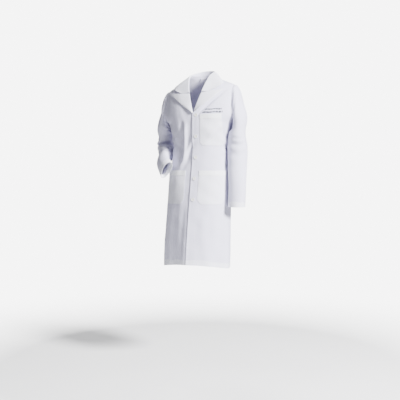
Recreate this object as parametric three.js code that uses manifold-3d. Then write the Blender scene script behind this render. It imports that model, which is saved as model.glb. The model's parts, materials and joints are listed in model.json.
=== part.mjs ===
// A white lab coat, shaped as it hangs on a wearer: the left sleeve hangs, the right one is bent
// with its cuff at the right pocket. Millimetres; +X is the wearer's left, -Y the front, +Z up.
// The origin is the centre of the neck opening, level with the seam at the back of the neck.
import * as THREE from 'three';
import { mergeVertices } from 'three/addons/utils/BufferGeometryUtils.js';
import Module from 'manifold-3d';

// ---- driving dimensions ------------------------------------------------------------------
const COAT_LENGTH = 955;          // back of the neck to the hem
const HEM_RISE = 25;              // how much higher the hem is at the centre front
const LEAN = 24;                  // sideways shift of the hem, towards the wearer's right
const SHOULDER_TILT = 0.075;      // how much the left shoulder is above the right, per mm of width
const TILT_FADE_Z = -330;         // the tilt has faded out at this height
const CLOTH = 1.2;                // thickness of one modelled layer of cloth
const GAP = 0.35;                 // clearance between edges that touch
const LAYER_GAP = 2.5;            // clearance between layers that lie on one another
const SECTION_POWER = 2.2;        // roundness of the body sections (2 is an ellipse)

const NECK_HALF_WIDTH = 56;
const NECK_HALF_DEPTH = 60;
const NECK_BACK_SHIFT = 12;       // the neck sits behind the centre of the chest
const SHOULDER_HALF_WIDTH = 168;  // centre to the armhole seam
const SHOULDER_Z = -66;           // height of the armhole's top
const CHEST_Z = -200;
const CHEST_HALF_DEPTH = 122;
const UNDERARM_HALF_WIDTH = 160;
const WAIST_Z = -360;
const WAIST_HALF_WIDTH = 139;
const WAIST_HALF_DEPTH = 108;
const HIP_Z = -520;
const HIP_HALF_WIDTH = 156;
const HIP_HALF_DEPTH = 120;
const HEM_HALF_WIDTH = 167;
const HEM_HALF_DEPTH = 145;

const BREAK_Z = -192;             // where the lapels start to roll, just above the top button
const FRONT_EDGE_X = -9;          // edge of the left front, which laps over the right one
const BUTTON_LINE_X = 8;          // the line of buttons, from the centre front
const UNDERLAP_X = 27;            // edge of the right front, under the left one
const FACING_WIDTH = 62;
const LAPEL_TIP_X = 122;
const LAPEL_TIP_Z = -66;
const NOTCH_X = 82;
const NOTCH_Z = -70;
const GORGE_Z = -52;              // where the collar seam meets the roll line
const COLLAR_STAND = 26;          // height of the collar's fold above the back neck seam
const COLLAR_FALL_Z = -48;        // lower edge of the collar at the centre back
const COLLAR_LIFT = 4;            // the collar's outer edge stands this far off the body

const BUTTON_COUNT = 5;
const TOP_BUTTON_Z = -202;
const BUTTON_PITCH = 102.5;
const BUTTON_DIAMETER = 17;
const BUTTON_THICKNESS = 2.6;
const SHANK_DIAMETER = 3;
const BUTTONHOLE_LENGTH = 19;
const BUTTONHOLE_WIDTH = 4;

const CHEST_POCKET = { x0: 34, x1: 133, top: -200, height: 149, bulge: 7, hem: 22, corner: 14 };
const HIP_POCKET = { x0: 34, x1: 146, top: -471, height: 164, bulge: 8, hem: 25, corner: 22 };
const POCKET_SEAT = 2.2;          // a pocket's edge lies this far off the front
const MARK = { x0: 48, x1: 138, top: -182, height: 13 };

const HEM_TURN_UP = 26;
const FLAP_TOP_Z = -650;          // the fronts are free below this height
const FLAP_REACH = 0.8;           // the free flap's share of the way to the side seam, at the hem
const FLAP_HEEL = 18;             // height of the flap where it runs out near the side seam
const FLAP_GAP = 2;               // slit between a front and its free flap

const ARMHOLE_HALF_DEPTH = 58;
const ARMHOLE_DROP = 172;         // top to bottom of the armhole
const SHOULDER_CUT = 96;          // radius of the round cut between sleeve cap and upper sleeve
const SLEEVE_GAP = 6;             // air between a sleeve and the body
const SLEEVE_END_Z = -648;        // cuff of the hanging sleeve
const ELBOW_Z = -352;
const ELBOW_HALF_WIDTH = 46;
const CUFF_HALF_WIDTH = 42;
const CUFF_HALF_DEPTH = 45;
const CUFF_HEM = 20;
const ELBOW_HALF_DEPTH = 46;
const ELBOW_BALL = 55;            // radius of the hanging sleeve's rounded elbow, seen from the side
const ELBOW_BALL_HALF_WIDTH = 47.5;
const ELBOW_PASSAGE = 37;         // radius kept open through it for an arm
const ELBOW_RANGE = 60;           // degrees of bend that the passage stays open for

// ---- small helpers -----------------------------------------------------------------------
const wasm = await Module();
wasm.setup();

const group = new THREE.Group();
const rad = (degrees) => (degrees * Math.PI) / 180;
const lerp = (a, b, t) => a + (b - a) * t;
const clamp = (t, low = 0, high = 1) => Math.min(high, Math.max(low, t));
const ease = (t) => clamp(t) * clamp(t) * (3 - 2 * clamp(t));
const mix = (a, b, t) => a.map((value, i) => lerp(value, b[i], t));
const plus = (a, b, scale = 1) => a.map((value, i) => value + b[i] * scale);
const dot = (a, b) => a[0] * b[0] + a[1] * b[1] + a[2] * b[2];
const cross = (a, b) => [
  a[1] * b[2] - a[2] * b[1],
  a[2] * b[0] - a[0] * b[2],
  a[0] * b[1] - a[1] * b[0],
];
const unit = (a) => a.map((value) => value / Math.hypot(...a));

// A smooth curve through rows of [position, value], without overshoot.
function smoothTable(rows) {
  const sorted = [...rows].sort((p, q) => p[0] - q[0]);
  const slopes = sorted.map((row, i) => {
    if (i === 0 || i === sorted.length - 1) return 0;
    const before = (row[1] - sorted[i - 1][1]) / (row[0] - sorted[i - 1][0]);
    const after = (sorted[i + 1][1] - row[1]) / (sorted[i + 1][0] - row[0]);
    return before * after <= 0 ? 0 : (2 * before * after) / (before + after);
  });
  return (at) => {
    const last = sorted.length - 1;
    if (at <= sorted[0][0]) return sorted[0][1];
    if (at >= sorted[last][0]) return sorted[last][1];
    const i = sorted.findIndex((row) => row[0] > at) - 1;
    const width = sorted[i + 1][0] - sorted[i][0];
    const t = (at - sorted[i][0]) / width;
    const h00 = (1 + 2 * t) * (1 - t) ** 2;
    const h10 = t * (1 - t) ** 2;
    const h01 = t * t * (3 - 2 * t);
    const h11 = t * t * (t - 1);
    return h00 * sorted[i][1] + h10 * width * slopes[i]
      + h01 * sorted[i + 1][1] + h11 * width * slopes[i + 1];
  };
}

// ---- the body's surface ------------------------------------------------------------------
const HEM_Z = -COAT_LENGTH;
const ARMHOLE_BOTTOM_Z = SHOULDER_Z - ARMHOLE_DROP;
const ARMHOLE_BULGE = SHOULDER_HALF_WIDTH + 18;   // the sections run on past the armhole's plane
const shoulderWidthAt = (share) => lerp(NECK_HALF_WIDTH, SHOULDER_HALF_WIDTH + 3, share);

const halfWidth = smoothTable([
  [0, NECK_HALF_WIDTH],
  [SHOULDER_Z * 0.3, shoulderWidthAt(0.21)],
  [SHOULDER_Z * 0.62, shoulderWidthAt(0.58)],
  [SHOULDER_Z, shoulderWidthAt(1)],
  [SHOULDER_Z - 25, ARMHOLE_BULGE],
  [ARMHOLE_BOTTOM_Z + 42, ARMHOLE_BULGE],
  [ARMHOLE_BOTTOM_Z - 8, UNDERARM_HALF_WIDTH],
  [WAIST_Z, WAIST_HALF_WIDTH],
  [HIP_Z, HIP_HALF_WIDTH],
  [lerp(HIP_Z, HEM_Z, 0.42), lerp(HIP_HALF_WIDTH, HEM_HALF_WIDTH, 0.55)],
  [HEM_Z, HEM_HALF_WIDTH],
]);
const halfDepth = smoothTable([
  [0, NECK_HALF_DEPTH],
  [SHOULDER_Z * 0.5, lerp(NECK_HALF_DEPTH, CHEST_HALF_DEPTH, 0.16)],
  [SHOULDER_Z, lerp(NECK_HALF_DEPTH, CHEST_HALF_DEPTH, 0.46)],
  [lerp(SHOULDER_Z, CHEST_Z, 0.45), lerp(NECK_HALF_DEPTH, CHEST_HALF_DEPTH, 0.82)],
  [CHEST_Z, CHEST_HALF_DEPTH],
  [CHEST_Z - 55, CHEST_HALF_DEPTH],
  [WAIST_Z, WAIST_HALF_DEPTH],
  [HIP_Z, HIP_HALF_DEPTH],
  [lerp(HIP_Z, HEM_Z, 0.42), lerp(HIP_HALF_DEPTH, HEM_HALF_DEPTH, 0.5)],
  [HEM_Z, HEM_HALF_DEPTH],
]);
const backShift = smoothTable([[0, NECK_BACK_SHIFT], [CHEST_Z, 0], [HEM_Z, 0]]);
const leanAt = (z) => -LEAN * clamp((z + 60) / (HEM_Z + 60)) ** 1.35;
const tiltAt = (x, z) => SHOULDER_TILT * x * ease((z - TILT_FADE_Z) / (SHOULDER_Z - TILT_FADE_Z));
const bend = (value) => Math.sign(value) * Math.abs(value) ** (2 / SECTION_POWER);

// A point of the body by its angle round from the centre front (90 is the wearer's left) and height.
function bodySkin(phi, z) {
  const x = halfWidth(z) * bend(Math.sin(rad(phi)));
  const y = backShift(z) - halfDepth(z) * bend(Math.cos(rad(phi)));
  return [x + leanAt(z), y, z + tiltAt(x, z)];
}

function bodyNormal(phi, z) {
  const alongPhi = plus(bodySkin(phi + 1, z), bodySkin(phi - 1, z), -1);
  const alongZ = plus(bodySkin(phi, z + 1.5), bodySkin(phi, z - 1.5), -1);
  return unit(cross(alongPhi, alongZ));
}

const body = (phi, z, off = 0) => plus(bodySkin(phi, z), bodyNormal(phi, z), off);

// The angle at which the body's front stands a given distance from its own centre line.
function phiAt(x, z) {
  const share = clamp(Math.abs(x) / halfWidth(z));
  return (Math.sign(x) * Math.asin(share ** (SECTION_POWER / 2)) * 180) / Math.PI;
}

const hemAt = (phi) => HEM_Z + HEM_RISE * clamp(Math.cos(rad(phi))) ** 1.5;
const veeHalfWidth = (z) => lerp(NECK_HALF_WIDTH, 2, clamp(z / BREAK_Z) ** 0.92);

// ---- solids ------------------------------------------------------------------------------
function geometryFrom(points, triangles) {
  const geometry = new THREE.BufferGeometry();
  geometry.setAttribute('position', new THREE.Float32BufferAttribute(points.flat(), 3));
  geometry.setIndex(triangles.flat());
  return geometry;
}

// A closed sheet: place(u, v, t) gives its inner face at t = 0 and its outer face at t = 1.
function sheet(countU, countV, place) {
  const points = [];
  const triangles = [];
  const index = (i, j, layer) => (layer * (countU + 1) + i) * (countV + 1) + j;
  for (const layer of [0, 1]) {
    for (let i = 0; i <= countU; i += 1) {
      for (let j = 0; j <= countV; j += 1) points.push(place(i / countU, j / countV, layer));
    }
  }
  const quad = (a, b, c, d) => triangles.push([a, b, c], [a, c, d]);
  for (let i = 0; i < countU; i += 1) {
    for (let j = 0; j < countV; j += 1) {
      quad(index(i, j, 1), index(i + 1, j, 1), index(i + 1, j + 1, 1), index(i, j + 1, 1));
      quad(index(i, j, 0), index(i, j + 1, 0), index(i + 1, j + 1, 0), index(i + 1, j, 0));
    }
    quad(index(i, 0, 0), index(i + 1, 0, 0), index(i + 1, 0, 1), index(i, 0, 1));
    quad(index(i, countV, 1), index(i + 1, countV, 1), index(i + 1, countV, 0), index(i, countV, 0));
  }
  for (let j = 0; j < countV; j += 1) {
    quad(index(0, j, 1), index(0, j + 1, 1), index(0, j + 1, 0), index(0, j, 0));
    quad(index(countU, j, 0), index(countU, j + 1, 0), index(countU, j + 1, 1), index(countU, j, 1));
  }
  return outward(geometryFrom(points, triangles));
}

// A tube wall: place(angle, v, t) gives its inner face at t = 0 and its outer face at t = 1.
function tube(countAround, countAlong, place, solid = false) {
  const points = [];
  const triangles = [];
  const index = (i, j, layer) => (layer * (countAlong + 1) + j) * countAround + (i % countAround);
  const quad = (a, b, c, d) => triangles.push([a, b, c], [a, c, d]);
  for (const layer of solid ? [1] : [0, 1]) {
    for (let j = 0; j <= countAlong; j += 1) {
      for (let i = 0; i < countAround; i += 1) {
        points.push(place((360 * i) / countAround, j / countAlong, layer));
      }
    }
  }
  const outer = solid ? 0 : 1;
  for (let i = 0; i < countAround; i += 1) {
    for (let j = 0; j < countAlong; j += 1) {
      quad(index(i, j, outer), index(i + 1, j, outer), index(i + 1, j + 1, outer), index(i, j + 1, outer));
      if (!solid) quad(index(i, j, 0), index(i, j + 1, 0), index(i + 1, j + 1, 0), index(i + 1, j, 0));
    }
    if (!solid) {
      quad(index(i, 0, 0), index(i + 1, 0, 0), index(i + 1, 0, 1), index(i, 0, 1));
      quad(index(i, countAlong, 1), index(i + 1, countAlong, 1),
        index(i + 1, countAlong, 0), index(i, countAlong, 0));
    }
  }
  if (solid) {
    for (const [j, flip] of [[0, true], [countAlong, false]]) {
      for (let i = 1; i < countAround - 1; i += 1) {
        const fan = [index(0, j, 0), index(i, j, 0), index(i + 1, j, 0)];
        triangles.push(flip ? fan.reverse() : fan);
      }
    }
  }
  return outward(geometryFrom(points, triangles));
}

// Turns a closed geometry's triangles so that they face out.
function outward(geometry) {
  const position = geometry.getAttribute('position').array;
  const index = geometry.getIndex().array;
  const corner = (i) => [position[3 * i], position[3 * i + 1], position[3 * i + 2]];
  let volume = 0;
  for (let k = 0; k < index.length; k += 3) {
    volume += dot(corner(index[k]), cross(corner(index[k + 1]), corner(index[k + 2])));
  }
  if (volume < 0) {
    for (let k = 0; k < index.length; k += 3) {
      const swap = index[k + 1];
      index[k + 1] = index[k + 2];
      index[k + 2] = swap;
    }
  }
  return geometry;
}

function solidOf(geometry) {
  const bare = geometry.clone();
  for (const name of Object.keys(bare.attributes)) {
    if (name !== 'position') bare.deleteAttribute(name);
  }
  const merged = mergeVertices(bare, 1e-4);
  return new wasm.Manifold(new wasm.Mesh({
    numProp: 3,
    vertProperties: new Float32Array(merged.getAttribute('position').array),
    triVerts: new Uint32Array(merged.getIndex().array),
  }));
}

function geometryOf(solid) {
  const mesh = solid.getMesh();
  const geometry = new THREE.BufferGeometry();
  geometry.setAttribute('position', new THREE.Float32BufferAttribute(mesh.vertProperties, 3));
  geometry.setIndex(Array.from(mesh.triVerts));
  return geometry;
}

// A ball, or one narrower from side to side, turned so that its rings run round the X axis.
function ball(radius, centre, halfWidthX = radius) {
  const geometry = new THREE.SphereGeometry(radius, 24, 12).rotateZ(Math.PI / 2);
  return solidOf(geometry.scale(halfWidthX / radius, 1, 1).translate(...centre));
}

function block(low, high) {
  const size = high.map((value, i) => value - low[i]);
  const middle = high.map((value, i) => (value + low[i]) / 2);
  return solidOf(new THREE.BoxGeometry(...size).translate(...middle));
}

// A round bar from one point along a direction.
function bar(radius, from, direction, length, sides = 24) {
  const geometry = new THREE.CylinderGeometry(radius, radius, length, sides);
  geometry.translate(0, length / 2, 0);
  const turn = new THREE.Quaternion();
  turn.setFromUnitVectors(new THREE.Vector3(0, 1, 0), new THREE.Vector3(...direction).normalize());
  geometry.applyQuaternion(turn);
  return geometry.translate(...from);
}

// ---- materials and nodes -----------------------------------------------------------------
const look = (color, roughness) => new THREE.MeshStandardMaterial({ color, roughness, metalness: 0 });
const CLOTH_LOOK = look(0xf2f3f8, 0.9);
const TRIM_LOOK = look(0xe9eaf1, 0.9);
const BUTTON_LOOK = look(0xf4f3ee, 0.35);
const THREAD_LOOK = look(0xffffff, 0.8);
const MARK_LOOK = look(0x5d6270, 0.85);

function add(name, geometry, material = CLOTH_LOOK) {
  const mesh = new THREE.Mesh(geometry, material);
  mesh.name = name;
  group.add(mesh);
}

// ---- fronts, backs and skirt flaps ---------------------------------------------------------
const SIDE_SEAM = 90;
const SEAM_GAP = 0.25;            // degrees between neighbouring panels
const FACING_DROP = CLOTH + LAYER_GAP;  // a facing lies this far inside its front
const UNDERLAP_DROP = 2 * (CLOTH + LAYER_GAP);
const armholeTrim = (side) => block(
  [side > 0 ? SHOULDER_HALF_WIDTH : -600, -400, ARMHOLE_BOTTOM_Z - 45],
  [side > 0 ? 600 : -SHOULDER_HALF_WIDTH, 400, 300],
);

// How far inside the body's skin a front lies: the right front dips under the left one.
function frontDrop(side, phi) {
  if (side > 0) return 0;
  return UNDERLAP_DROP * (1 - ease((-phi - 8) / 12));
}

// A front's own angles run from its free edge (share 0) to the side seam (share 1).
function frontPhi(side, share, z) {
  const edge = side > 0 ? FRONT_EDGE_X : -UNDERLAP_X;
  const from = phiAt(edge, z);
  return side * lerp(from, SIDE_SEAM - SEAM_GAP, share);
}

// The height at which a front meets the neckline, by its share of the way to the side seam.
function necklineZ(share) {
  if (share <= 0) return BREAK_Z;
  let low = BREAK_Z;
  let high = 0;
  for (let step = 0; step < 40; step += 1) {
    const z = (low + high) / 2;
    const phi = Math.abs(lerp(phiAt(FRONT_EDGE_X, z), SIDE_SEAM - SEAM_GAP, share));
    const x = halfWidth(z) * bend(Math.sin(rad(phi)));
    if (x > veeHalfWidth(z)) low = z;
    else high = z;
  }
  return low;
}

function frontTopZ(side, share) {
  const necklineShare = side > 0 ? share : clamp((share - 0.2) / 0.8) * 0.8 + share * 0.2;
  return necklineZ(clamp(necklineShare));
}

// The line along which a free skirt flap leaves its front.
function flapLineZ(side, share) {
  const heel = hemAt(side * FLAP_REACH * SIDE_SEAM) + FLAP_HEEL;
  return lerp(FLAP_TOP_Z, heel, clamp(share / FLAP_REACH));
}

// A front's columns: evenly over its flap, then close together where the flap ends.
const COLUMN_SHARES = [
  0,
  FLAP_REACH * 0.045,
  ...Array.from({ length: 11 }, (_, i) => (FLAP_REACH * (i + 1)) / 11),
  FLAP_REACH + 0.015,
  lerp(FLAP_REACH, 1, 0.5),
  1,
];
const columns = (u) => COLUMN_SHARES[Math.round(u * (COLUMN_SHARES.length - 1))];

function frontPanel(side) {
  const bottomZ = (share) => {
    if (share <= FLAP_REACH) return flapLineZ(side, share) + FLAP_GAP / 2;
    const toHem = clamp((share - FLAP_REACH) / 0.015);
    return lerp(flapLineZ(side, FLAP_REACH) + FLAP_GAP / 2, hemAt(side * share * SIDE_SEAM), toHem);
  };
  return sheet(COLUMN_SHARES.length - 1, 21, (u, v, t) => {
    const share = columns(u);
    const bottom = bottomZ(share);
    const z = lerp(bottom, frontTopZ(side, share), v);
    const phi = frontPhi(side, share, z);
    return body(phi, z, -frontDrop(side, phi) - (1 - t) * CLOTH);
  });
}

function skirtFlap(side, inner = false) {
  const top = (share) => (inner ? hemAt(side * share * SIDE_SEAM) + HEM_TURN_UP : 0);
  return sheet(10, inner ? 1 : 8, (u, v, t) => {
    const share = u * (FLAP_REACH - (inner ? 0.09 : 0.004));
    const low = hemAt(side * share * SIDE_SEAM) + (inner ? GAP : 0);
    const high = inner ? Math.min(top(share), flapLineZ(side, share) - FLAP_GAP)
      : flapLineZ(side, share) - FLAP_GAP / 2;
    const z = lerp(low, high, v);
    const phi = frontPhi(side, share, z);
    const drop = frontDrop(side, phi) + (inner ? FACING_DROP : 0);
    return body(phi, z, -drop - (1 - t) * CLOTH);
  });
}

function backPanel(side) {
  return sheet(10, 15, (u, v, t) => {
    const phi = side * lerp(SIDE_SEAM + SEAM_GAP, 180 - SEAM_GAP, u);
    const z = lerp(hemAt(phi), -0.5, v);
    return body(phi, z, -(1 - t) * CLOTH);
  });
}

function backHem(side) {
  return sheet(8, 1, (u, v, t) => {
    const phi = side * lerp(SIDE_SEAM + 2, 179, u);
    const z = lerp(hemAt(phi) + GAP, hemAt(phi) + HEM_TURN_UP, v);
    return body(phi, z, -FACING_DROP - (1 - t) * CLOTH);
  });
}

// The facing is the strip inside each front edge, from the lapel's break down to the flap.
function facing(side) {
  return sheet(4, 15, (u, v, t) => {
    const z = lerp(FLAP_TOP_Z + 6, BREAK_Z - 24, v);
    const edge = side > 0 ? FRONT_EDGE_X : -UNDERLAP_X;
    const phi = side * phiAt(edge + 1 + u * FACING_WIDTH, z);
    return body(phi, z, -frontDrop(side, phi) - FACING_DROP - (1 - t) * CLOTH);
  });
}

const buttonZ = (k) => TOP_BUTTON_Z - k * BUTTON_PITCH;
const buttonPhi = (z) => phiAt(BUTTON_LINE_X, z);

function cutButtonholes(solid) {
  let result = solid;
  for (let k = 0; k < BUTTON_COUNT; k += 1) {
    const [x, y, z] = body(buttonPhi(buttonZ(k)), buttonZ(k));
    const half = [BUTTONHOLE_WIDTH / 2, 12, BUTTONHOLE_LENGTH / 2];
    result = result.subtract(block([x - half[0], y - half[1], z - half[2]],
      [x + half[0], y + half[1], z + half[2]]));
  }
  return result;
}

for (const [side, label] of [[1, 'left'], [-1, 'right']]) {
  let front = solidOf(frontPanel(side)).subtract(armholeTrim(side));
  let strip = solidOf(facing(side));
  if (side > 0) {
    front = cutButtonholes(front);
    strip = cutButtonholes(strip);
  }
  add(`${label}_front`, geometryOf(front));
  add(`${label}_facing`, geometryOf(strip), TRIM_LOOK);
  add(`${label}_back`, geometryOf(solidOf(backPanel(side)).subtract(armholeTrim(side))));
  add(`${label}_back_hem`, backHem(side), TRIM_LOOK);
  add(`${label}_skirt_flap`, skirtFlap(side));
  add(`${label}_skirt_hem`, skirtFlap(side, true), TRIM_LOOK);
}

// ---- lapels and collar ---------------------------------------------------------------------
// A point in front of the body at a given distance from its centre line and height.
function chest(x, z, off) {
  return body(phiAt(x, z), z, off);
}

const rollX = (z) => veeHalfWidth(z) + 0.6;

function lapel(side) {
  const lift = 2 * LAYER_GAP;
  return sheet(8, 5, (u, v, t) => {
    const rollZ = lerp(BREAK_Z, GORGE_Z, u);
    const roll = [rollX(rollZ), rollZ];
    const outerU = ease(u) * 0.25 + u * 0.75;
    const tip = [LAPEL_TIP_X, LAPEL_TIP_Z];
    const outer = [lerp(rollX(BREAK_Z) + 3, tip[0], outerU), lerp(BREAK_Z + 3, tip[1], outerU)];
    outer[0] += 5 * Math.sin(Math.PI * u);
    const sag = u * Math.sin(Math.PI * v) * Math.max(0, NOTCH_Z - lerp(GORGE_Z, LAPEL_TIP_Z, 0.5));
    const x = lerp(roll[0], outer[0], v);
    const z = lerp(roll[1], outer[1], v) + Math.min(0, sag);
    const puff = 3.2 * Math.sin(Math.PI * clamp(v * 0.8)) * (1 - 0.4 * u);
    return chest(side * x, z, lift + puff + t * CLOTH);
  });
}

// Going round the neck, share 0 is the right front end of the collar and share 1 the left.
function collarLine(share) {
  const side = share < 0.5 ? -1 : 1;
  const fromBack = Math.abs(share - 0.5) * 2;
  const gorgePhi = phiAt(rollX(GORGE_Z), GORGE_Z);
  const neckPhi = fromBack < 0.55
    ? lerp(180, 90, fromBack / 0.55)
    : lerp(90, gorgePhi, (fromBack - 0.55) / 0.45);
  const outerPhi = fromBack < 0.55
    ? neckPhi
    : lerp(90, phiAt(NOTCH_X + 12, NOTCH_Z + 8), (fromBack - 0.55) / 0.45);
  let neckZ = 0.5;
  if (neckPhi < 90) {
    let low = GORGE_Z;
    let high = 0;
    for (let step = 0; step < 30; step += 1) {
      const z = (low + high) / 2;
      if (halfWidth(z) * bend(Math.sin(rad(neckPhi))) > veeHalfWidth(z)) low = z;
      else high = z;
    }
    neckZ = low + 0.5;
  }
  const front = clamp((fromBack - 0.3) / 0.7);
  const outerZ = fromBack < 0.55
    ? lerp(COLLAR_FALL_Z, SHOULDER_Z * 0.6, fromBack / 0.55)
    : lerp(SHOULDER_Z * 0.6, NOTCH_Z + 10, (fromBack - 0.55) / 0.45);
  const neck = bodySkin(side * neckPhi, neckZ);
  const out = unit([Math.sin(rad(side * neckPhi)), -Math.cos(rad(neckPhi)), 0]);
  const stand = lerp(COLLAR_STAND, 7, ease(front));
  const fold = plus(plus(neck, out, 3), [0, 0, 1], stand);
  const outer = body(side * outerPhi, outerZ, COLLAR_LIFT + 2);
  return { neck, fold, outer, out };
}

// The upper collar is the layer on show; the under collar lies below it and stands to the neck.
function collarLayer(level) {
  return sheet(22, 3, (u, v, t) => {
    const { fold, outer, out } = collarLine(u);
    const rise = unit(plus(out, [0, 0, 1], 1.1));
    const base = mix(fold, outer, v);
    const bulge = 3.5 * Math.sin(Math.PI * v);
    return plus(base, rise, bulge + level * (CLOTH + GAP) + t * CLOTH);
  });
}

function collarStand() {
  return sheet(22, 1, (u, v, t) => {
    const { neck, fold, out } = collarLine(u);
    const foot = plus(neck, [0, 0, 1], 1.2);
    const top = plus(plus(fold, out, -2.2), [0, 0, 1], -1.2);
    return plus(mix(foot, top, v), out, -t * CLOTH);
  });
}

add('upper_collar', collarLayer(1));
add('under_collar', collarLayer(0));
add('collar_stand', collarStand());
add('left_lapel', lapel(1));
add('right_lapel', lapel(-1));

// ---- pockets -------------------------------------------------------------------------------
// A patch pocket: its sides and bottom lie on the front and its mouth stands off it.
function pocketPlace(side, pocket, u, v, t, lowShare, highShare, lift) {
  const share = lerp(lowShare, highShare, v);
  const z = pocket.top - pocket.height * (1 - share);
  const inset = pocket.corner * clamp(1 - (share * pocket.height) / pocket.corner) * 0.8;
  const from = phiAt(pocket.x0 + inset, z);
  const to = phiAt(pocket.x1, z) - (inset / halfWidth(z)) * 57;
  const phi = side * lerp(from, to, u);
  const across = 1 - Math.abs(2 * u - 1) ** 3;
  const puff = pocket.bulge * across * ease(share * 1.6);
  return body(phi, z, POCKET_SEAT + lift + puff + t * CLOTH);
}

function addPocket(name, side, pocket) {
  add(name, sheet(8, 5, (u, v, t) => pocketPlace(side, pocket, u, v, t, 0, 1, 0)));
  const hemShare = 1 - pocket.hem / pocket.height;
  add(`${name}_hem`, sheet(8, 1, (u, v, t) => (
    pocketPlace(side, pocket, u, v, t, hemShare, 1, CLOTH + LAYER_GAP)
  )), TRIM_LOOK);
}

addPocket('chest_pocket', 1, CHEST_POCKET);
addPocket('left_pocket', 1, HIP_POCKET);
addPocket('right_pocket', -1, HIP_POCKET);

// A plain stitched mark above the chest pocket.
add('stitched_mark', sheet(8, 1, (u, v, t) => {
  const z = MARK.top - MARK.height * (1 - v);
  return body(phiAt(lerp(MARK.x0, MARK.x1, u), z), z, GAP + t * 0.8);
}), MARK_LOOK);

// ---- buttons -------------------------------------------------------------------------------
for (let k = 0; k < BUTTON_COUNT; k += 1) {
  const z = buttonZ(k);
  const phi = buttonPhi(z);
  const normal = bodyNormal(phi, z);
  const seat = body(phi, z, 1.2);
  const radius = BUTTON_DIAMETER / 2;
  const rim = [
    [0, 0], [radius - 0.8, 0], [radius, 0.8], [radius, BUTTON_THICKNESS - 0.5],
    [radius - 0.6, BUTTON_THICKNESS], [radius - 2, BUTTON_THICKNESS], [radius - 3, BUTTON_THICKNESS - 0.7],
    [0, BUTTON_THICKNESS - 0.7],
  ].map(([r, h]) => new THREE.Vector2(r, h));
  let disc = solidOf(new THREE.LatheGeometry(rim, 16));
  for (const [dx, dz] of [[1.6, 1.6], [-1.6, 1.6], [1.6, -1.6], [-1.6, -1.6]]) {
    disc = disc.subtract(solidOf(bar(0.8, [dx, -1, dz], [0, 1, 0], BUTTON_THICKNESS + 2, 6)));
  }
  const turn = new THREE.Quaternion();
  turn.setFromUnitVectors(new THREE.Vector3(0, 1, 0), new THREE.Vector3(...normal));
  const geometry = geometryOf(disc);
  geometry.applyQuaternion(turn);
  geometry.translate(...seat);
  add(`button_${k + 1}`, geometry, BUTTON_LOOK);
  const rootDrop = frontDrop(-1, phi) - GAP;
  const foot = body(phi, z, -rootDrop);
  const shankLength = 1.2 + rootDrop - GAP;
  add(`button_thread_${k + 1}`, bar(SHANK_DIAMETER / 2, foot, normal, shankLength, 8), THREAD_LOOK);
}

// ---- sleeves -------------------------------------------------------------------------------
// A sleeve is a row of stations: a centre, the direction away from the body, the direction
// across it, and a half size along each.
function station(centre, away, across, halfAway, halfAcross) {
  return { centre, away: unit(away), across: unit(across), halfAway, halfAcross };
}

// A cap station, from its outermost and innermost points in the plane of the shoulders.
function capStation(side, outer, inner, y, depth) {
  const top = [side * outer[0], y, outer[1]];
  const low = [side * inner[0], y, inner[1]];
  const away = plus(top, low, -1);
  return station(mix(top, low, 0.5), away, [0, 1, 0], Math.hypot(...away) / 2, depth);
}

function spline(values, at) {
  const last = values.length - 1;
  const i = Math.min(last - 1, Math.floor(at));
  const t = at - i;
  const pick = (k) => values[clamp(k, 0, last)];
  return values[i].map((_, axis) => {
    const [p0, p1, p2, p3] = [i - 1, i, i + 1, i + 2].map((k) => pick(k)[axis]);
    return 0.5 * (2 * p1 + (p2 - p0) * t + (2 * p0 - 5 * p1 + 4 * p2 - p3) * t * t
      + (3 * p1 - p0 - 3 * p2 + p3) * t * t * t);
  });
}

function sleevePoint(stations, at, angle, drop) {
  const centre = spline(stations.map((s) => s.centre), at);
  const away = unit(spline(stations.map((s) => s.away), at));
  const across = unit(spline(stations.map((s) => s.across), at));
  const [halfAway, halfAcross] = spline(stations.map((s) => [s.halfAway, s.halfAcross]), at);
  const out = plus(centre, away, (halfAway - drop) * Math.cos(rad(angle)));
  return plus(out, across, (halfAcross - drop) * Math.sin(rad(angle)));
}

function sleeveTube(stations, from, to, steps, drop = 0, around = 20) {
  return tube(around, steps, (angle, v, t) => (
    sleevePoint(stations, lerp(from, to, v), angle, drop + (1 - t) * CLOTH)
  ));
}

function sleeveCore(stations, from, to, steps) {
  return tube(16, steps, (angle, v) => sleevePoint(stations, lerp(from, to, v), angle, CLOTH), true);
}

const armTilt = (side) => tiltAt(side * SHOULDER_HALF_WIDTH, SHOULDER_Z);
const sideX = (side, z) => side * leanAt(z) + halfWidth(z);
const CAP_SIDE_X = SHOULDER_HALF_WIDTH + 0.5;
const LEFT_SLEEVE_Y = 2;

// The shoulder's roundness: how far out and how far below the armhole's top each point lies.
function capStations(side, y, rows) {
  const top = SHOULDER_Z + armTilt(side) + 1;
  const bottom = top - ARMHOLE_DROP;
  return rows.map(([out, down, inward, below, depth]) => (
    capStation(side, [CAP_SIDE_X + out, top - down], [CAP_SIDE_X + inward, bottom - below], y, depth)
  ));
}

const CAP_ROWS = [
  [0, 0, 0, 0, ARMHOLE_HALF_DEPTH],
  [14, 7, 0.3, 3, ARMHOLE_HALF_DEPTH + 1],
  [27, 26, 0.6, 7, ARMHOLE_HALF_DEPTH + 2],
  [36, 56, 0.8, 11, ARMHOLE_HALF_DEPTH + 3],
  [46, 100, 1, 15, ARMHOLE_HALF_DEPTH + 3],
];

// The hanging left sleeve follows the body's side below the armhole.
function hangingStation(z, y, halfAway, halfAcross) {
  const innerX = sideX(1, z) * 1 + SLEEVE_GAP;
  return station([innerX + halfAway, y, z], [1, 0, 0], [0, 1, 0], halfAway, halfAcross);
}

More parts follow.
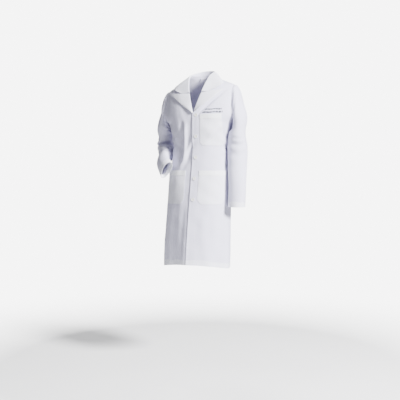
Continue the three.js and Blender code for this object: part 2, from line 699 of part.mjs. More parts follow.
const leftStations = [
  ...capStations(1, LEFT_SLEEVE_Y, CAP_ROWS),
  station([SHOULDER_HALF_WIDTH + 31, LEFT_SLEEVE_Y, ARMHOLE_BOTTOM_Z - 6], [1, 0, 0.25], [0, 1, 0], 32, 60),
  hangingStation(lerp(ARMHOLE_BOTTOM_Z, ELBOW_Z, 0.5), 0, 38, 57),
  hangingStation(ELBOW_Z, 0, ELBOW_HALF_WIDTH, ELBOW_HALF_DEPTH),
  hangingStation(lerp(ELBOW_Z, SLEEVE_END_Z, 0.33), -12, 44, 48),
  hangingStation(lerp(ELBOW_Z, SLEEVE_END_Z, 0.67), -28, 43, 46),
  hangingStation(SLEEVE_END_Z, -40, CUFF_HALF_WIDTH, CUFF_HALF_DEPTH),
];
const LEFT_ELBOW_AT = CAP_ROWS.length + 2;
const LEFT_END = leftStations.length - 1;

function shoulderPivot(side) {
  return [side * CAP_SIDE_X, LEFT_SLEEVE_Y, SHOULDER_Z + armTilt(side) + 1 - ARMHOLE_DROP / 2];
}

function addCap(side, label, stations) {
  const pivot = shoulderPivot(side);
  const cap = solidOf(sleeveTube(stations, 0, CAP_ROWS.length + 0.6, 8));
  add(`${label}_sleeve_cap`, geometryOf(cap.intersect(ball(SHOULDER_CUT, pivot))));
}

addCap(1, 'left', leftStations);
const leftElbow = leftStations[LEFT_ELBOW_AT].centre;
const leftUpper = solidOf(sleeveTube(leftStations, 3, LEFT_ELBOW_AT, 8))
  .subtract(ball(SHOULDER_CUT + 1, shoulderPivot(1)))
  .subtract(ball(ELBOW_BALL + 1.6, leftElbow, ELBOW_BALL_HALF_WIDTH + 1.6));
add('left_upper_sleeve', geometryOf(leftUpper));

// The rounded elbow stays inside the upper sleeve's end while the forearm bends forward.
function elbowBall() {
  let shell = ball(ELBOW_BALL, leftElbow, ELBOW_BALL_HALF_WIDTH)
    .subtract(ball(ELBOW_BALL - CLOTH, leftElbow, ELBOW_BALL_HALF_WIDTH - CLOTH));
  for (let angle = 0; angle <= ELBOW_RANGE; angle += ELBOW_RANGE / 4) {
    const direction = [0, -Math.sin(rad(angle)), Math.cos(rad(angle))];
    shell = shell.subtract(solidOf(bar(ELBOW_PASSAGE, leftElbow, direction, 2 * ELBOW_BALL, 12)));
  }
  return shell.subtract(solidOf(sleeveCore(leftStations, LEFT_ELBOW_AT, LEFT_END, 4)));
}

const foreTube = solidOf(sleeveTube(leftStations, LEFT_ELBOW_AT, LEFT_END, 7))
  .subtract(ball(ELBOW_BALL - CLOTH / 2, leftElbow, ELBOW_BALL_HALF_WIDTH - CLOTH / 2));
const cuffShare = (stations, length) => {
  const last = stations.length - 1;
  const span = Math.hypot(...plus(stations[last].centre, stations[last - 1].centre, -1));
  return last - length / span;
};
add('left_lower_sleeve', geometryOf(foreTube.add(elbowBall())));
add('left_cuff_hem', sleeveTube(leftStations, cuffShare(leftStations, CUFF_HEM), LEFT_END - 0.002, 2,
  CLOTH + GAP), TRIM_LOOK);

// The bent right sleeve runs back to its elbow, then round the waist to the pocket's mouth.
const RIGHT_ELBOW = { phi: -108, z: -348, off: 84 };
const RIGHT_REACH = [
  { phi: -97, z: -378, off: 60, halfAway: 40, halfAcross: 48 },
  { phi: -80, z: -408, off: 40, halfAway: 33, halfAcross: 50 },
  { phi: -61, z: -441, off: 47, halfAway: 28, halfAcross: 50 },
  { phi: -44, z: -474, off: 42, halfAway: 24, halfAcross: 50 },
];

const rightElbow = body(RIGHT_ELBOW.phi, RIGHT_ELBOW.z, RIGHT_ELBOW.off);
const rightPivot = shoulderPivot(-1);
const upperRun = [
  plus(rightPivot, [-31, 6, -104]),
  plus(rightPivot, [-41, 34, -150]),
];
const upperDirection = unit(plus(rightElbow, upperRun[1], -1));
const reachPoints = RIGHT_REACH.map((row) => body(row.phi, row.z, row.halfAway + SLEEVE_GAP
  + Math.max(0, row.off - row.halfAway - SLEEVE_GAP)));
const foreDirection = unit(plus(reachPoints[0], rightElbow, -1));

function squareTo(direction, hint) {
  return unit(plus(hint, direction, -dot(hint, direction)));
}

const upperAway = squareTo(upperDirection, [-1, 0, 0]);
const beyondElbow = plus(rightElbow, upperDirection, 70);
const rightUpperStations = [
  ...capStations(-1, LEFT_SLEEVE_Y, CAP_ROWS),
  station(upperRun[0], [-1, 0, 0.2], [0, 1, 0.1], 33, 58),
  station(upperRun[1], [-1, -0.1, 0.1], [0, 0.9, 0.35], 38, 53),
  station(rightElbow, upperAway, cross(upperDirection, upperAway).map((n) => -n), 44, 47),
  station(beyondElbow, upperAway, cross(upperDirection, upperAway).map((n) => -n), 44, 47),
];
for (const s of rightUpperStations) {
  if (dot(s.across, [0, 1, 0]) < 0) s.across = s.across.map((n) => -n);
}

const foreRun = [plus(rightElbow, foreDirection, -70), rightElbow, ...reachPoints];
const rightForeStations = foreRun.map((centre, k) => {
  const before = foreRun[Math.max(0, k - 1)];
  const after = foreRun[Math.min(foreRun.length - 1, k + 1)];
  const direction = unit(plus(after, before, -1));
  const row = RIGHT_REACH[Math.max(0, k - 2)];
  const hint = k < 2 ? [-1, 0, 0] : bodyNormal(row.phi, row.z);
  const away = squareTo(direction, hint);
  const halfAway = k < 2 ? 44 : row.halfAway;
  const halfAcross = k < 2 ? 46 : row.halfAcross;
  return station(centre, away, cross(direction, away), halfAway, halfAcross);
});

addCap(-1, 'right', rightUpperStations);

// The two halves of the bent sleeve meet on the plane that bisects the elbow.
const mitreNormal = unit(plus(upperDirection, foreDirection));
function mitreBlock(keepUpper) {
  const box = new THREE.BoxGeometry(600, 600, 600);
  box.translate(0, keepUpper ? 300 - GAP : GAP - 300, 0);
  const turn = new THREE.Quaternion();
  turn.setFromUnitVectors(new THREE.Vector3(0, 1, 0), new THREE.Vector3(...mitreNormal));
  box.applyQuaternion(turn);
  return solidOf(box.translate(...rightElbow));
}

const RIGHT_ELBOW_AT = CAP_ROWS.length + 2;
const rightUpper = solidOf(sleeveTube(rightUpperStations, 3, RIGHT_ELBOW_AT + 1, 9))
  .subtract(ball(SHOULDER_CUT + 1, rightPivot))
  .subtract(mitreBlock(true));
add('right_upper_sleeve', geometryOf(rightUpper));
const RIGHT_END = rightForeStations.length - 1;
const rightFore = solidOf(sleeveTube(rightForeStations, 0, RIGHT_END, 8)).subtract(mitreBlock(false));
add('right_lower_sleeve', geometryOf(rightFore));
add('right_cuff_hem', sleeveTube(rightForeStations, cuffShare(rightForeStations, CUFF_HEM),
  RIGHT_END - 0.002, 2, CLOTH + GAP), TRIM_LOOK);

// ---- inside the back of the neck -------------------------------------------------------------
add('neck_label', sheet(4, 1, (u, v, t) => body(lerp(172, 188, u), lerp(-34, -12, v),
  -CLOTH - GAP - (1 - t) * 0.8)), TRIM_LOOK);

const loopHalf = 24;
const loopFoot = (x) => body(180 - (x / NECK_HALF_WIDTH) * 57, -6, -CLOTH - GAP - 3.4);
const loopPath = new THREE.CatmullRomCurve3([
  loopFoot(loopHalf), plus(loopFoot(loopHalf * 0.55), [0, -7, -6]),
  plus(loopFoot(0), [0, -9, -8]),
  plus(loopFoot(-loopHalf * 0.55), [0, -7, -6]), loopFoot(-loopHalf),
].map((p) => new THREE.Vector3(...p)));
const loopSection = new THREE.Shape();
loopSection.absellipse(0, 0, 2.6, 1.2, 0, Math.PI * 2, false, 0);
add('hanger_loop', new THREE.ExtrudeGeometry(loopSection, {
  steps: 10, curveSegments: 2, bevelEnabled: false, extrudePath: loopPath,
}), TRIM_LOOK);

export default group;
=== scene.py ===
"""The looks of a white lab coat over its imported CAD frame. Metres; +X is the wearer's left."""
import json
import math

import bmesh
import bpy
import numpy as np
from mathutils import Matrix, Vector


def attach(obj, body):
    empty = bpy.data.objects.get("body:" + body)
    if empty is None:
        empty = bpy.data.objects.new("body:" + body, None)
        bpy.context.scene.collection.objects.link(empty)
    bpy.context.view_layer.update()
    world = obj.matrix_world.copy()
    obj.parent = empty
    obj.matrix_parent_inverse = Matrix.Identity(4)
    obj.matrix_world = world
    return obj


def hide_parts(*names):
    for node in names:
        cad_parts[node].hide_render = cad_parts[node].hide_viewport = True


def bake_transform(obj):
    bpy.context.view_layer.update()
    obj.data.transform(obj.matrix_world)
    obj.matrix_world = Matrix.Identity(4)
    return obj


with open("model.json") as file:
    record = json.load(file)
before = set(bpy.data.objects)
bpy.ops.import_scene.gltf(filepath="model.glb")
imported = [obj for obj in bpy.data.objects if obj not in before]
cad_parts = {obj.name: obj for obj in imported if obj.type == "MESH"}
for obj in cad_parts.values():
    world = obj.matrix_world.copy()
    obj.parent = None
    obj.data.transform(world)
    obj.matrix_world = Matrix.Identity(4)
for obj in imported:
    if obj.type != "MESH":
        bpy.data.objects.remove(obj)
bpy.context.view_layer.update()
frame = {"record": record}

MM = 0.001
UP = np.array([0.0, 0.0, 1.0])


def add_object(name, data):
    obj = bpy.data.objects.new(name, data)
    bpy.context.scene.collection.objects.link(obj)
    return obj


# ---- the camera ----
CAMERA_AZIMUTH = 20.0      # degrees towards the wearer's left
CAMERA_DISTANCE = 4.0
CAMERA_HEIGHT = -0.40
AIM = Vector((-0.0094, -0.0034, -0.620))


def aim(obj, place, at):
    """Puts a camera or lamp in its place, looking at a point."""
    obj.location = place
    obj.rotation_mode = "QUATERNION"
    obj.rotation_quaternion = (Vector(at) - Vector(place)).to_track_quat("-Z", "Y")


camera_data = bpy.data.cameras.new("camera")
camera_data.lens = 72.0
camera_data.sensor_width = 36.0
camera = add_object("camera", camera_data)
turn = math.radians(CAMERA_AZIMUTH)
aim(camera, (AIM.x + CAMERA_DISTANCE * math.sin(turn), AIM.y - CAMERA_DISTANCE * math.cos(turn),
             CAMERA_HEIGHT), AIM)
bpy.context.scene.camera = camera

# ---- the coat's sizes, in millimetres ----
# They are the CAD source's, except the front edge, button line, lapel tips, notch, gorge, the
# collar's outer edge and the pockets' bulges, which are placed for the look and differ from it.
COAT_LENGTH = 955.0
HEM_RISE = 25.0
LEAN = 24.0
SHOULDER_TILT = 0.075
TILT_FADE_Z = -330.0
SECTION_POWER = 2.2
NECK_HALF_WIDTH = 56.0
SHOULDER_HALF_WIDTH = 168.0
SHOULDER_Z = -66.0
BREAK_Z = -192.0
FRONT_EDGE_X = -3.0
BUTTON_LINE_X = 14.0
UNDERLAP_X = 27.0
LAPEL_TIP = (134.0, -88.0)
NOTCH = (76.0, -94.0)
GORGE_Z = -95.0
COLLAR_SIDE_Z = -15.0      # the collar's outer edge on the shoulders
BUTTON_Z = [-202.0 - 102.5 * k for k in range(5)]
ARMHOLE_DROP = 172.0
ARMHOLE_BOTTOM_Z = SHOULDER_Z - ARMHOLE_DROP
HEM_Z = -COAT_LENGTH
CHEST_POCKET = dict(x0=34, x1=133, top=-200, height=149, bulge=3.4, hem=22, corner=14)
HIP_POCKET = dict(x0=34, x1=146, top=-471, height=164, bulge=4.0, hem=25, corner=22)

# Sizes set for the look alone; the cloth is thinner and its layers closer than in the CAD source.
HEM_TURN = 26.0            # height of the hem's turn-up
HEM_STITCH = 24.0          # height of its stitching
HEM_DOUBLE = 25.0          # height to which the hem looks doubled
CUFF_TURN = 29.0           # length of a cuff's turn-up
FACING_WIDTH = 62.0
CLOTH_THICKNESS = 1.1
TRIM_ABOVE_Z = ARMHOLE_BOTTOM_Z - 45.0   # the panels are cut on the armhole's plane above this
LAYER = 1.9                # from one layer of cloth to the next
ARMHOLE_X = 168.5          # the plane of an armhole's seam, and where an arm's middle meets it
ARM_Y = 2.0
DEGREES = 57.0             # in a radian, near enough for a small turn


def smooth_table(rows):
    """The same smooth curve without overshoot that the CAD source draws through its rows."""
    rows = sorted(rows)
    at = np.array([r[0] for r in rows], float)
    value = np.array([r[1] for r in rows], float)
    slope = np.zeros(len(rows))
    for i in range(1, len(rows) - 1):
        before = (value[i] - value[i - 1]) / (at[i] - at[i - 1])
        after = (value[i + 1] - value[i]) / (at[i + 1] - at[i])
        slope[i] = 0.0 if before * after <= 0 else 2 * before * after / (before + after)

    def curve(x):
        x = np.clip(np.asarray(x, float), at[0], at[-1])
        i = np.clip(np.searchsorted(at, x, side="right") - 1, 0, len(at) - 2)
        width = at[i + 1] - at[i]
        t = (x - at[i]) / width
        return (
            (1 + 2 * t) * (1 - t) ** 2 * value[i]
            + t * (1 - t) ** 2 * width * slope[i]
            + t * t * (3 - 2 * t) * value[i + 1]
            + t * t * (t - 1) * width * slope[i + 1]
        )

    return curve


def lerp(a, b, t):
    return a + (b - a) * t


def ease(t):
    t = np.clip(t, 0.0, 1.0)
    return t * t * (3 - 2 * t)


def width_share(share):
    return lerp(NECK_HALF_WIDTH, SHOULDER_HALF_WIDTH + 3, share)


half_width = smooth_table([
    (0, 56), (SHOULDER_Z * 0.3, width_share(0.21)), (SHOULDER_Z * 0.62, width_share(0.58)),
    (SHOULDER_Z, width_share(1)), (SHOULDER_Z - 25, 186), (ARMHOLE_BOTTOM_Z + 42, 186),
    (ARMHOLE_BOTTOM_Z - 8, 160), (-360, 139), (-520, 156),
    (lerp(-520, HEM_Z, 0.42), lerp(156, 167, 0.55)), (HEM_Z, 167),
])
half_depth = smooth_table([
    (0, 60), (SHOULDER_Z * 0.5, lerp(60, 122, 0.16)), (SHOULDER_Z, lerp(60, 122, 0.46)),
    (lerp(SHOULDER_Z, -200, 0.45), lerp(60, 122, 0.82)), (-200, 122), (-255, 122), (-360, 108),
    (-520, 120), (lerp(-520, HEM_Z, 0.42), lerp(120, 145, 0.5)), (HEM_Z, 145),
])
back_shift = smooth_table([(0, 12), (-200, 0), (HEM_Z, 0)])


def lean_at(z):
    return -LEAN * np.clip((z + 60) / (HEM_Z + 60), 0, 1) ** 1.35


def tilt_at(x, z):
    return SHOULDER_TILT * x * ease((z - TILT_FADE_Z) / (SHOULDER_Z - TILT_FADE_Z))


def bend(value):
    return np.sign(value) * np.abs(value) ** (2 / SECTION_POWER)


def x_at(phi, z):
    """How far from the coat's middle plane its outside stands at an angle and a height."""
    return half_width(z) * bend(np.sin(np.radians(phi)))


def skin(phi, z):
    """Points of the coat's outside by angle from the centre front (90 is the wearer's left)."""
    phi, z = np.broadcast_arrays(np.asarray(phi, float), np.asarray(z, float))
    x = x_at(phi, z)
    y = back_shift(z) - half_depth(z) * bend(np.cos(np.radians(phi)))
    return np.stack([x + lean_at(z), y, z + tilt_at(x, z)], axis=-1)


def unit(v):
    return v / np.maximum(np.linalg.norm(v, axis=-1, keepdims=True), 1e-9)


def skin_normal(phi, z):
    along_phi = skin(phi + 1.0, z) - skin(phi - 1.0, z)
    along_z = skin(phi, z + 1.5) - skin(phi, z - 1.5)
    return unit(np.cross(along_phi, along_z))


def phi_at(x, z):
    """The angle at which the front stands a given distance from its own centre line."""
    share = np.clip(np.abs(x) / half_width(z), 0, 1)
    return np.degrees(np.sign(x) * np.arcsin(share ** (SECTION_POWER / 2)))


def hem_at(phi):
    return HEM_Z + HEM_RISE * np.clip(np.cos(np.radians(phi)), 0, 1) ** 1.5


LABEL = {1: "left", -1: "right"}


def front_edge(side):
    """Where a front's free edge stands; the right one lies under the left."""
    return FRONT_EDGE_X if side > 0 else -UNDERLAP_X


def vee_half_width(z):
    return lerp(NECK_HALF_WIDTH, 2.0, np.clip(z / BREAK_Z, 0, 1) ** 1.12)


def vee_height(phi_of, low, steps):
    """The height at which lines of the front run into the neckline, found by halving."""
    high = np.zeros(low.shape)
    for _ in range(steps):
        z = (low + high) / 2
        wide = x_at(phi_of(z), z) > vee_half_width(z)
        low, high = np.where(wide, z, low), np.where(wide, high, z)
    return low


def shares(n, m):
    """The shares from 0 to 1 along the two sides of a grid of n by m points."""
    return np.linspace(0, 1, n)[:, None], np.linspace(0, 1, m)[None, :]


def full(u, v):
    return np.broadcast_arrays(u, v)


# ---- folds and wrinkles ----
def ridge(distance, width):
    return np.exp(-((distance / width) ** 2))


def band(value, low, high, soft):
    return ease((value - low) / soft) * ease((high - value) / soft)


def fold_line(x, z, a, b, width, height):
    """A soft fold from point a to point b of the cloth, in millimetres across the front."""
    a, b = np.array(a, float), np.array(b, float)
    along = (b - a) / np.linalg.norm(b - a)
    across = np.array([-along[1], along[0]])
    px, pz = x - a[0], z - a[1]
    t = (px * along[0] + pz * along[1]) / np.linalg.norm(b - a)
    d = px * across[0] + pz * across[1]
    taper = ease(t / 0.3) * ease((1 - t) / 0.3)
    return height * taper * ridge(d, width)


# Soft folds across the coat: from, to, width and height, in millimetres; below 0 is a valley.
FRONT_FOLDS = [
    ((-40, -218), (-46, -450), 9, 6),
    ((-63, -205), (-66, -450), 11, -6),
    ((6, -290), (-74, -470), 10, 4.6),
    ((2, -325), (-70, -500), 12, -3.6),
    ((140, -235), (62, -320), 11, 2.4),
    ((142, -262), (60, -352), 11, -2),
    ((-142, -240), (-80, -345), 12, 3.4),
    ((-142, -270), (-70, -380), 12, -2.6),
    ((-14, -600), (-16, -990), 16, 2.6),
    ((60, -655), (84, -945), 24, 3),
    ((112, -640), (140, -950), 20, 2.4),
    ((-128, -560), (-150, -940), 22, 3),
]
BACK_FOLDS = [
    ((-150, -235), (-40, -330), 12, 3.4),
    ((150, -235), (40, -335), 12, 3.4),
    ((-70, -470), (-96, -940), 26, 5),
    ((64, -470), (100, -940), 26, 5),
    ((4, -520), (0, -945), 20, -3),
]
LAPEL_VALLEY = ((0, -216), (176, -62), 7, -6.4)   # the chest dips beside the left lapel
SKIRT_STAND = 6.0          # how far the fronts stand out below the waist, at their middle


def folds(phi, z):
    """How far the hanging cloth stands off its plain shape, in millimetres."""
    phi = (phi + 180.0) % 360.0 - 180.0
    x = x_at(phi, z)
    front = ease((100 - np.abs(phi)) / 30)
    back = 1 - front
    down = ease((-520 - z) / 430)
    out = 3.6 * down * np.sin(np.radians(phi) * 5 + 0.6 + 0.5 * np.sin(z / 170))
    out += 2.2 * down * np.sin(np.radians(phi) * 9 + 2.1)
    for line in FRONT_FOLDS:
        out += front * fold_line(x, z, *line)
    stand = np.clip(1 - np.where(x < 0, -x / 120, x / 200), 0, 1)
    out += front * ease((-430 - z) / 200) * SKIRT_STAND * stand
    out += front * fold_line(x, z, *LAPEL_VALLEY)
    waist = band(z, -440, -285, 60)
    out += back * waist * 3.2 * np.sin(z / 11.5 + 0.7 * np.sin(np.radians(phi) * 3))
    for line in BACK_FOLDS:
        out += back * fold_line(x, z, *line)
    side = ease((np.abs(np.sin(np.radians(phi))) - 0.86) / 0.1)
    out += side * band(z, -430, -262, 60) * 2.0 * np.sin(z / 9.0)
    out += 0.5 * np.sin(x / 13 + z / 37) * np.sin(z / 23 - x / 41)
    return 1.35 * out * ease((-z - 60) / 70)


def coat(phi, z, off=0.0):
    """A point of the draped coat, in metres; off is along the outward normal."""
    stand_off = (np.asarray(off) + folds(phi, z))[..., None]
    return (skin(phi, z) + skin_normal(phi, z) * stand_off) * MM


# ---- meshes ----
def link(name, verts, faces, uvs=None):
    mesh = bpy.data.meshes.new(name)
    mesh.from_pydata([tuple(v) for v in verts], [], faces)
    if uvs is not None:
        layer = mesh.uv_layers.new(name="cloth")
        loops = np.zeros(len(mesh.loops), int)
        mesh.loops.foreach_get("vertex_index", loops)
        layer.data.foreach_set("uv", np.asarray(uvs)[loops].astype(np.float32).ravel())
    mesh.update()
    mesh.polygons.foreach_set("use_smooth", [True] * len(mesh.polygons))
    return add_object(name, mesh)


def grid(name, points, around=False, out=None):
    """A smooth sheet through an array of points [i, j]; around joins the last column to the first.
    Its faces look along out, an array of directions or one direction."""
    n, m = points.shape[:2]
    flip = False
    if out is not None:
        turn = np.cross(np.gradient(points, axis=0), np.gradient(points, axis=1))
        flip = float((turn * out).sum()) < 0
    faces = []
    for i in range(n if around else n - 1):
        k = (i + 1) % n
        for j in range(m - 1):
            face = (i * m + j, k * m + j, k * m + j + 1, i * m + j + 1)
            faces.append(face[::-1] if flip else face)
    step_i = np.linalg.norm(np.diff(points, axis=0), axis=-1).mean(axis=1)
    step_j = np.linalg.norm(np.diff(points, axis=1), axis=-1).mean(axis=0)
    u = np.concatenate([[0], np.cumsum(step_i)])
    v = np.concatenate([[0], np.cumsum(step_j)])
    uv = np.stack(np.meshgrid(u, v, indexing="ij"), axis=-1)
    return link(name, points.reshape(-1, 3), faces, uv.reshape(-1, 2))


def apply(obj, kind, **settings):
    """Adds one modifier and bakes it into the mesh."""
    modifier = obj.modifiers.new(kind.lower(), kind)
    for key, value in settings.items():
        setattr(modifier, key, value)
    graph = bpy.context.evaluated_depsgraph_get()
    mesh = bpy.data.meshes.new_from_object(obj.evaluated_get(graph))
    old = obj.data
    obj.modifiers.clear()
    obj.data = mesh
    bpy.data.meshes.remove(old)
    return obj


def thicken(obj, thickness=CLOTH_THICKNESS, offset=-1.0):
    """Gives a sheet its thickness, inwards unless offset says otherwise."""
    apply(obj, "SOLIDIFY", thickness=thickness * MM, offset=offset, use_even_offset=False,
          use_rim=True)
    obj.data.set_sharp_from_angle(angle=math.radians(60))
    return obj


def trim(obj, side):
    """Cuts a panel on the armhole's plane and drops what lies beyond it."""
    plane_x, above_z = SHOULDER_HALF_WIDTH * MM, TRIM_ABOVE_Z * MM
    bm = bmesh.new()
    bm.from_mesh(obj.data)
    high = [f for f in bm.faces if max(v.co.z for v in f.verts) > above_z]
    edges, verts = {e for f in high for e in f.edges}, {v for f in high for v in f.verts}
    bmesh.ops.bisect_plane(bm, geom=high + list(edges) + list(verts), dist=1e-6,
                           plane_co=(side * plane_x, 0, 0), plane_no=(side, 0, 0))
    gone = [f for f in bm.faces if side * f.calc_center_median().x > plane_x
            and f.calc_center_median().z > above_z]
    bmesh.ops.delete(bm, geom=gone, context="FACES")
    bm.to_mesh(obj.data)
    bm.free()
    obj.data.update()


def mark_double(obj, rule):
    """Gives faces where rule says so the look of doubled cloth, as on a hem."""
    obj.data.materials.clear()
    for _ in range(2):
        obj.data.materials.append(None)
    centres = np.array([p.center for p in obj.data.polygons])
    obj.data.polygons.foreach_set("material_index", rule(centres).astype(int))


def in_hem(centres):
    front = np.clip(-centres[:, 1] / 0.145, 0, 1) ** 1.5
    return centres[:, 2] < (HEM_Z + HEM_DOUBLE + HEM_RISE * front) * MM


def join(name, parts):
    """One object from several, keeping their materials and UVs."""
    bm = bmesh.new()
    materials = []
    for part in parts:
        part.data.transform(part.matrix_world)
        start = len(bm.faces)
        bm.from_mesh(part.data)
        bm.faces.ensure_lookup_table()
        for face in list(bm.faces)[start:]:
            slot = part.data.materials[face.material_index] if part.data.materials else None
            if slot not in materials:
                materials.append(slot)
            face.material_index = materials.index(slot)
    mesh = bpy.data.meshes.new(name)
    bm.to_mesh(mesh)
    bm.free()
    for slot in materials:
        mesh.materials.append(slot)
    for part in parts:
        old = part.data
        bpy.data.objects.remove(part)
        bpy.data.meshes.remove(old)
    return add_object(name, mesh)


# ---- materials ----
def feed(tree, node, values):
    """Sets a node's inputs; a value that is another node's socket gets linked."""
    for socket, value in values.items():
        if isinstance(value, bpy.types.NodeSocket):
            tree.links.new(value, node.inputs[socket])
        else:
            node.inputs[socket].default_value = value


def new_node(tree, kind, values=None, **settings):
    node = tree.nodes.new("ShaderNode" + kind)
    for key, value in settings.items():
        setattr(node, key, value)
    feed(tree, node, values or {})
    return node


def new_material(name, values):
    """A material, its node tree and its shader with the given values."""
    material = bpy.data.materials.new(name)
    material.use_nodes = True
    tree = material.node_tree
    shader = tree.nodes["Principled BSDF"]
    feed(tree, shader, values)
    return material, tree, shader


def noise(tree, scale, detail):
    place = new_node(tree, "TexCoord")
    return new_node(tree, "TexNoise", {"Scale": scale, "Detail": detail,
                                       "Vector": place.outputs["Object"]}).outputs["Fac"]


def tint(tree, color, shade, amount):
    """A colour that is darkened to a share of itself where shade is low."""
    return new_node(tree, "Mix", {"A": (*[c * shade for c in color], 1), "B": (*color, 1),
                                  "Factor": amount}, data_type="RGBA").outputs["Result"]


def cloth_material(name, color, crumple=1.0):
    """White twill: a fine diagonal weave, faint crumpling and slightly uneven whiteness."""
    material, tree, shader = new_material(name, {
        "Roughness": 0.82, "Sheen Weight": 0.12, "Sheen Roughness": 0.45,
        "Specular IOR Level": 0.25})
    uv = new_node(tree, "UVMap", uv_map="cloth").outputs["UV"]

    def wave(scale, rotate):
        turn = new_node(tree, "Mapping", {"Rotation": (0, 0, math.radians(rotate)), "Vector": uv})
        return new_node(tree, "TexWave", {"Scale": scale, "Distortion": 0.4, "Detail": 1.0,
                                          "Vector": turn.outputs["Vector"]}).outputs["Fac"]

    twill, yarn = wave(450.0, 28), wave(700.0, 90)
    weave = new_node(tree, "Math", {0: yarn, 1: 0.5, 2: twill}, operation="MULTIPLY_ADD").outputs[0]
    crumpled = new_node(tree, "Bump", {"Strength": 0.35 * crumple, "Distance": 0.003,
                                       "Height": noise(tree, 26.0, 4.0)})
    woven = new_node(tree, "Bump", {"Strength": 0.28, "Distance": 0.0003, "Height": weave,
                                    "Normal": crumpled.outputs["Normal"]})
    dark = new_node(tree, "Mix", data_type="RGBA", blend_type="MULTIPLY")
    feed(tree, dark, {"Factor": 0.05, "A": tint(tree, color, 0.965, noise(tree, 5.0, 3.0)),
                      "B": weave})
    feed(tree, shader, {"Normal": woven.outputs["Normal"], "Base Color": dark.outputs["Result"]})
    return material


def plain_material(name, color, rough, grain=60.0, bump=0.1, coat_weight=0.0):
    """One slightly uneven colour with a fine grain."""
    material, tree, shader = new_material(name, {"Roughness": rough, "Coat Weight": coat_weight})
    uneven = noise(tree, grain, 3.0)
    height = new_node(tree, "Bump", {"Strength": bump, "Distance": 0.0004, "Height": uneven})
    feed(tree, shader, {"Normal": height.outputs["Normal"],
                        "Base Color": tint(tree, color, 0.9, uneven)})
    return material


CLOTH = cloth_material("white_twill", (0.645, 0.635, 0.785))
TRIM = cloth_material("white_twill_band", (0.86, 0.87, 0.92), crumple=0.7)
DOUBLE = cloth_material("white_twill_double", (0.77, 0.77, 0.87), crumple=1.1)
THREAD = plain_material("white_thread", (0.80, 0.805, 0.84), 0.7, grain=900.0, bump=0.4)
BUTTON = plain_material("pearl_button", (0.86, 0.85, 0.82), 0.28, grain=40.0, coat_weight=0.4)
MARK = plain_material("grey_thread", (0.06, 0.065, 0.09), 0.75, grain=900.0, bump=0.5)


def dress(obj, material):
    obj.data.materials.clear()
    obj.data.materials.append(material)
    return obj


# ---- stitching ----
def stitch_row(path, normals, pitch=3.6, length=2.4, radius=0.32):
    """A row of small raised stitches along a path in metres."""
    steps = np.linalg.norm(np.diff(path, axis=0), axis=1)
    run = np.concatenate([[0], np.cumsum(steps)])
    count = max(2, int(run[-1] / (pitch * MM)))
    starts = np.arange(count) * pitch * MM + 0.4 * MM
    starts = starts[starts + length * MM < run[-1]]

    def at(s, table):
        return np.stack([np.interp(s, run, table[:, k]) for k in range(3)], axis=-1)

    a, b = at(starts, path), at(starts + length * MM, path)
    middle = (a + b) / 2
    up = unit(at(starts + length * MM / 2, normals))
    along = unit(b - a)
    side = unit(np.cross(up, along))
    r = radius * MM
    rings = []
    for centre, lift, size in ((a, 0.05, 0.5), (middle, 0.5, 1.0), (b, 0.05, 0.5)):
        for k in range(4):
            turn = math.pi / 2 * k
            rings.append(centre + up * r * (lift + size * math.sin(turn))
                         + side * r * size * math.cos(turn))
    verts = np.stack(rings, axis=1).reshape(-1, 3)
    faces = []
    for base in range(0, 12 * len(a), 12):
        for low in (base, base + 4):
            for k in range(4):
                n = (k + 1) % 4
                faces.append((low + k, low + n, low + 4 + n, low + 4 + k))
        faces.append((base + 3, base + 2, base + 1, base))
        faces.append((base + 8, base + 9, base + 10, base + 11))
    return link("row", verts, faces)


def stitch_on_coat(phi, z, off=0.3, **sizes):
    return stitch_row(coat(phi, z, off), skin_normal(phi, z), **sizes)


def joined_rows(name, rows, place):
    """Several stitch rows as one piece; place makes it ride on a body or bakes its placement."""
    piece = rows[0] if len(rows) == 1 else join(name, rows)
    piece.name = name
    dress(piece, THREAD)
    piece.data.polygons.foreach_set("use_smooth", [True] * len(piece.data.polygons))
    place(piece)
    return piece


def on(body):
    return lambda piece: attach(piece, body)


BODY = on("coat_body")


def row_joint(name):
    found = next(j for j in frame["record"]["behaviour"]["joints"] if j["name"] == name)
    return Vector(found["pos_m"]), Vector(found["axis"]).normalized()


def swinging(side):
    """Gives a step that only bakes a piece's placement into its mesh; it reads the joint of the
    slanting line below which a front swings freely, but blends nothing over it.
    """
    label = LABEL[side]
    pivot, axis = row_joint(f"{label}_skirt_swing")
    down = Vector((side * 0.42, -0.91, 0.0)).cross(axis).normalized()
    if down.z > 0:
        down.negate()
    return lambda piece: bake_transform(piece)


def cloth_piece(obj, nodes, place, material=CLOTH):
    """Finishes one piece of cloth: its material, the CAD nodes it stands for, which it hides, and
    its placing by place.
    """
    double = [bool(p.material_index) for p in obj.data.polygons]
    dress(obj, material)
    if any(double):
        obj.data.materials.append(DOUBLE)
        obj.data.polygons.foreach_set("material_index", double)
    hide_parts(*nodes)
    place(obj)
    return obj


# ---- fronts and backs ----
def neckline_z(share):
    """The height at which a front meets the neckline, by its share of the way to the side seam."""
    share = np.asarray(share, float)
    low = vee_height(lambda z: np.abs(lerp(phi_at(FRONT_EDGE_X, z), 90, share)),
                     np.full(share.shape, BREAK_Z), 36)
    return np.where(share <= 0, BREAK_Z, low)


def front_top(side, share):
    return neckline_z(share if side > 0 else np.clip((share - 0.2) / 0.8, 0, 1) * 0.8 + share * 0.2)


def front_phi(side, share, z):
    return side * lerp(phi_at(front_edge(side), z), 90.0, share)


def under_drop(side, phi):
    """The right front lies this far inside the left one where they lap."""
    return 0.0 if side > 0 else 2 * LAYER * (1 - ease((-phi - 8) / 12))


def seam_dip(phi):
    """Panels turn in slightly at the side seams and the centre-back seam."""
    around = np.abs((phi + 180) % 360 - 180)
    return 1.3 * (ridge(around - 90, 1.1) + ridge(around - 180, 1.1))


def finish_panel(obj, side):
    trim(obj, side)
    mark_double(obj, in_hem)
    thicken(obj)


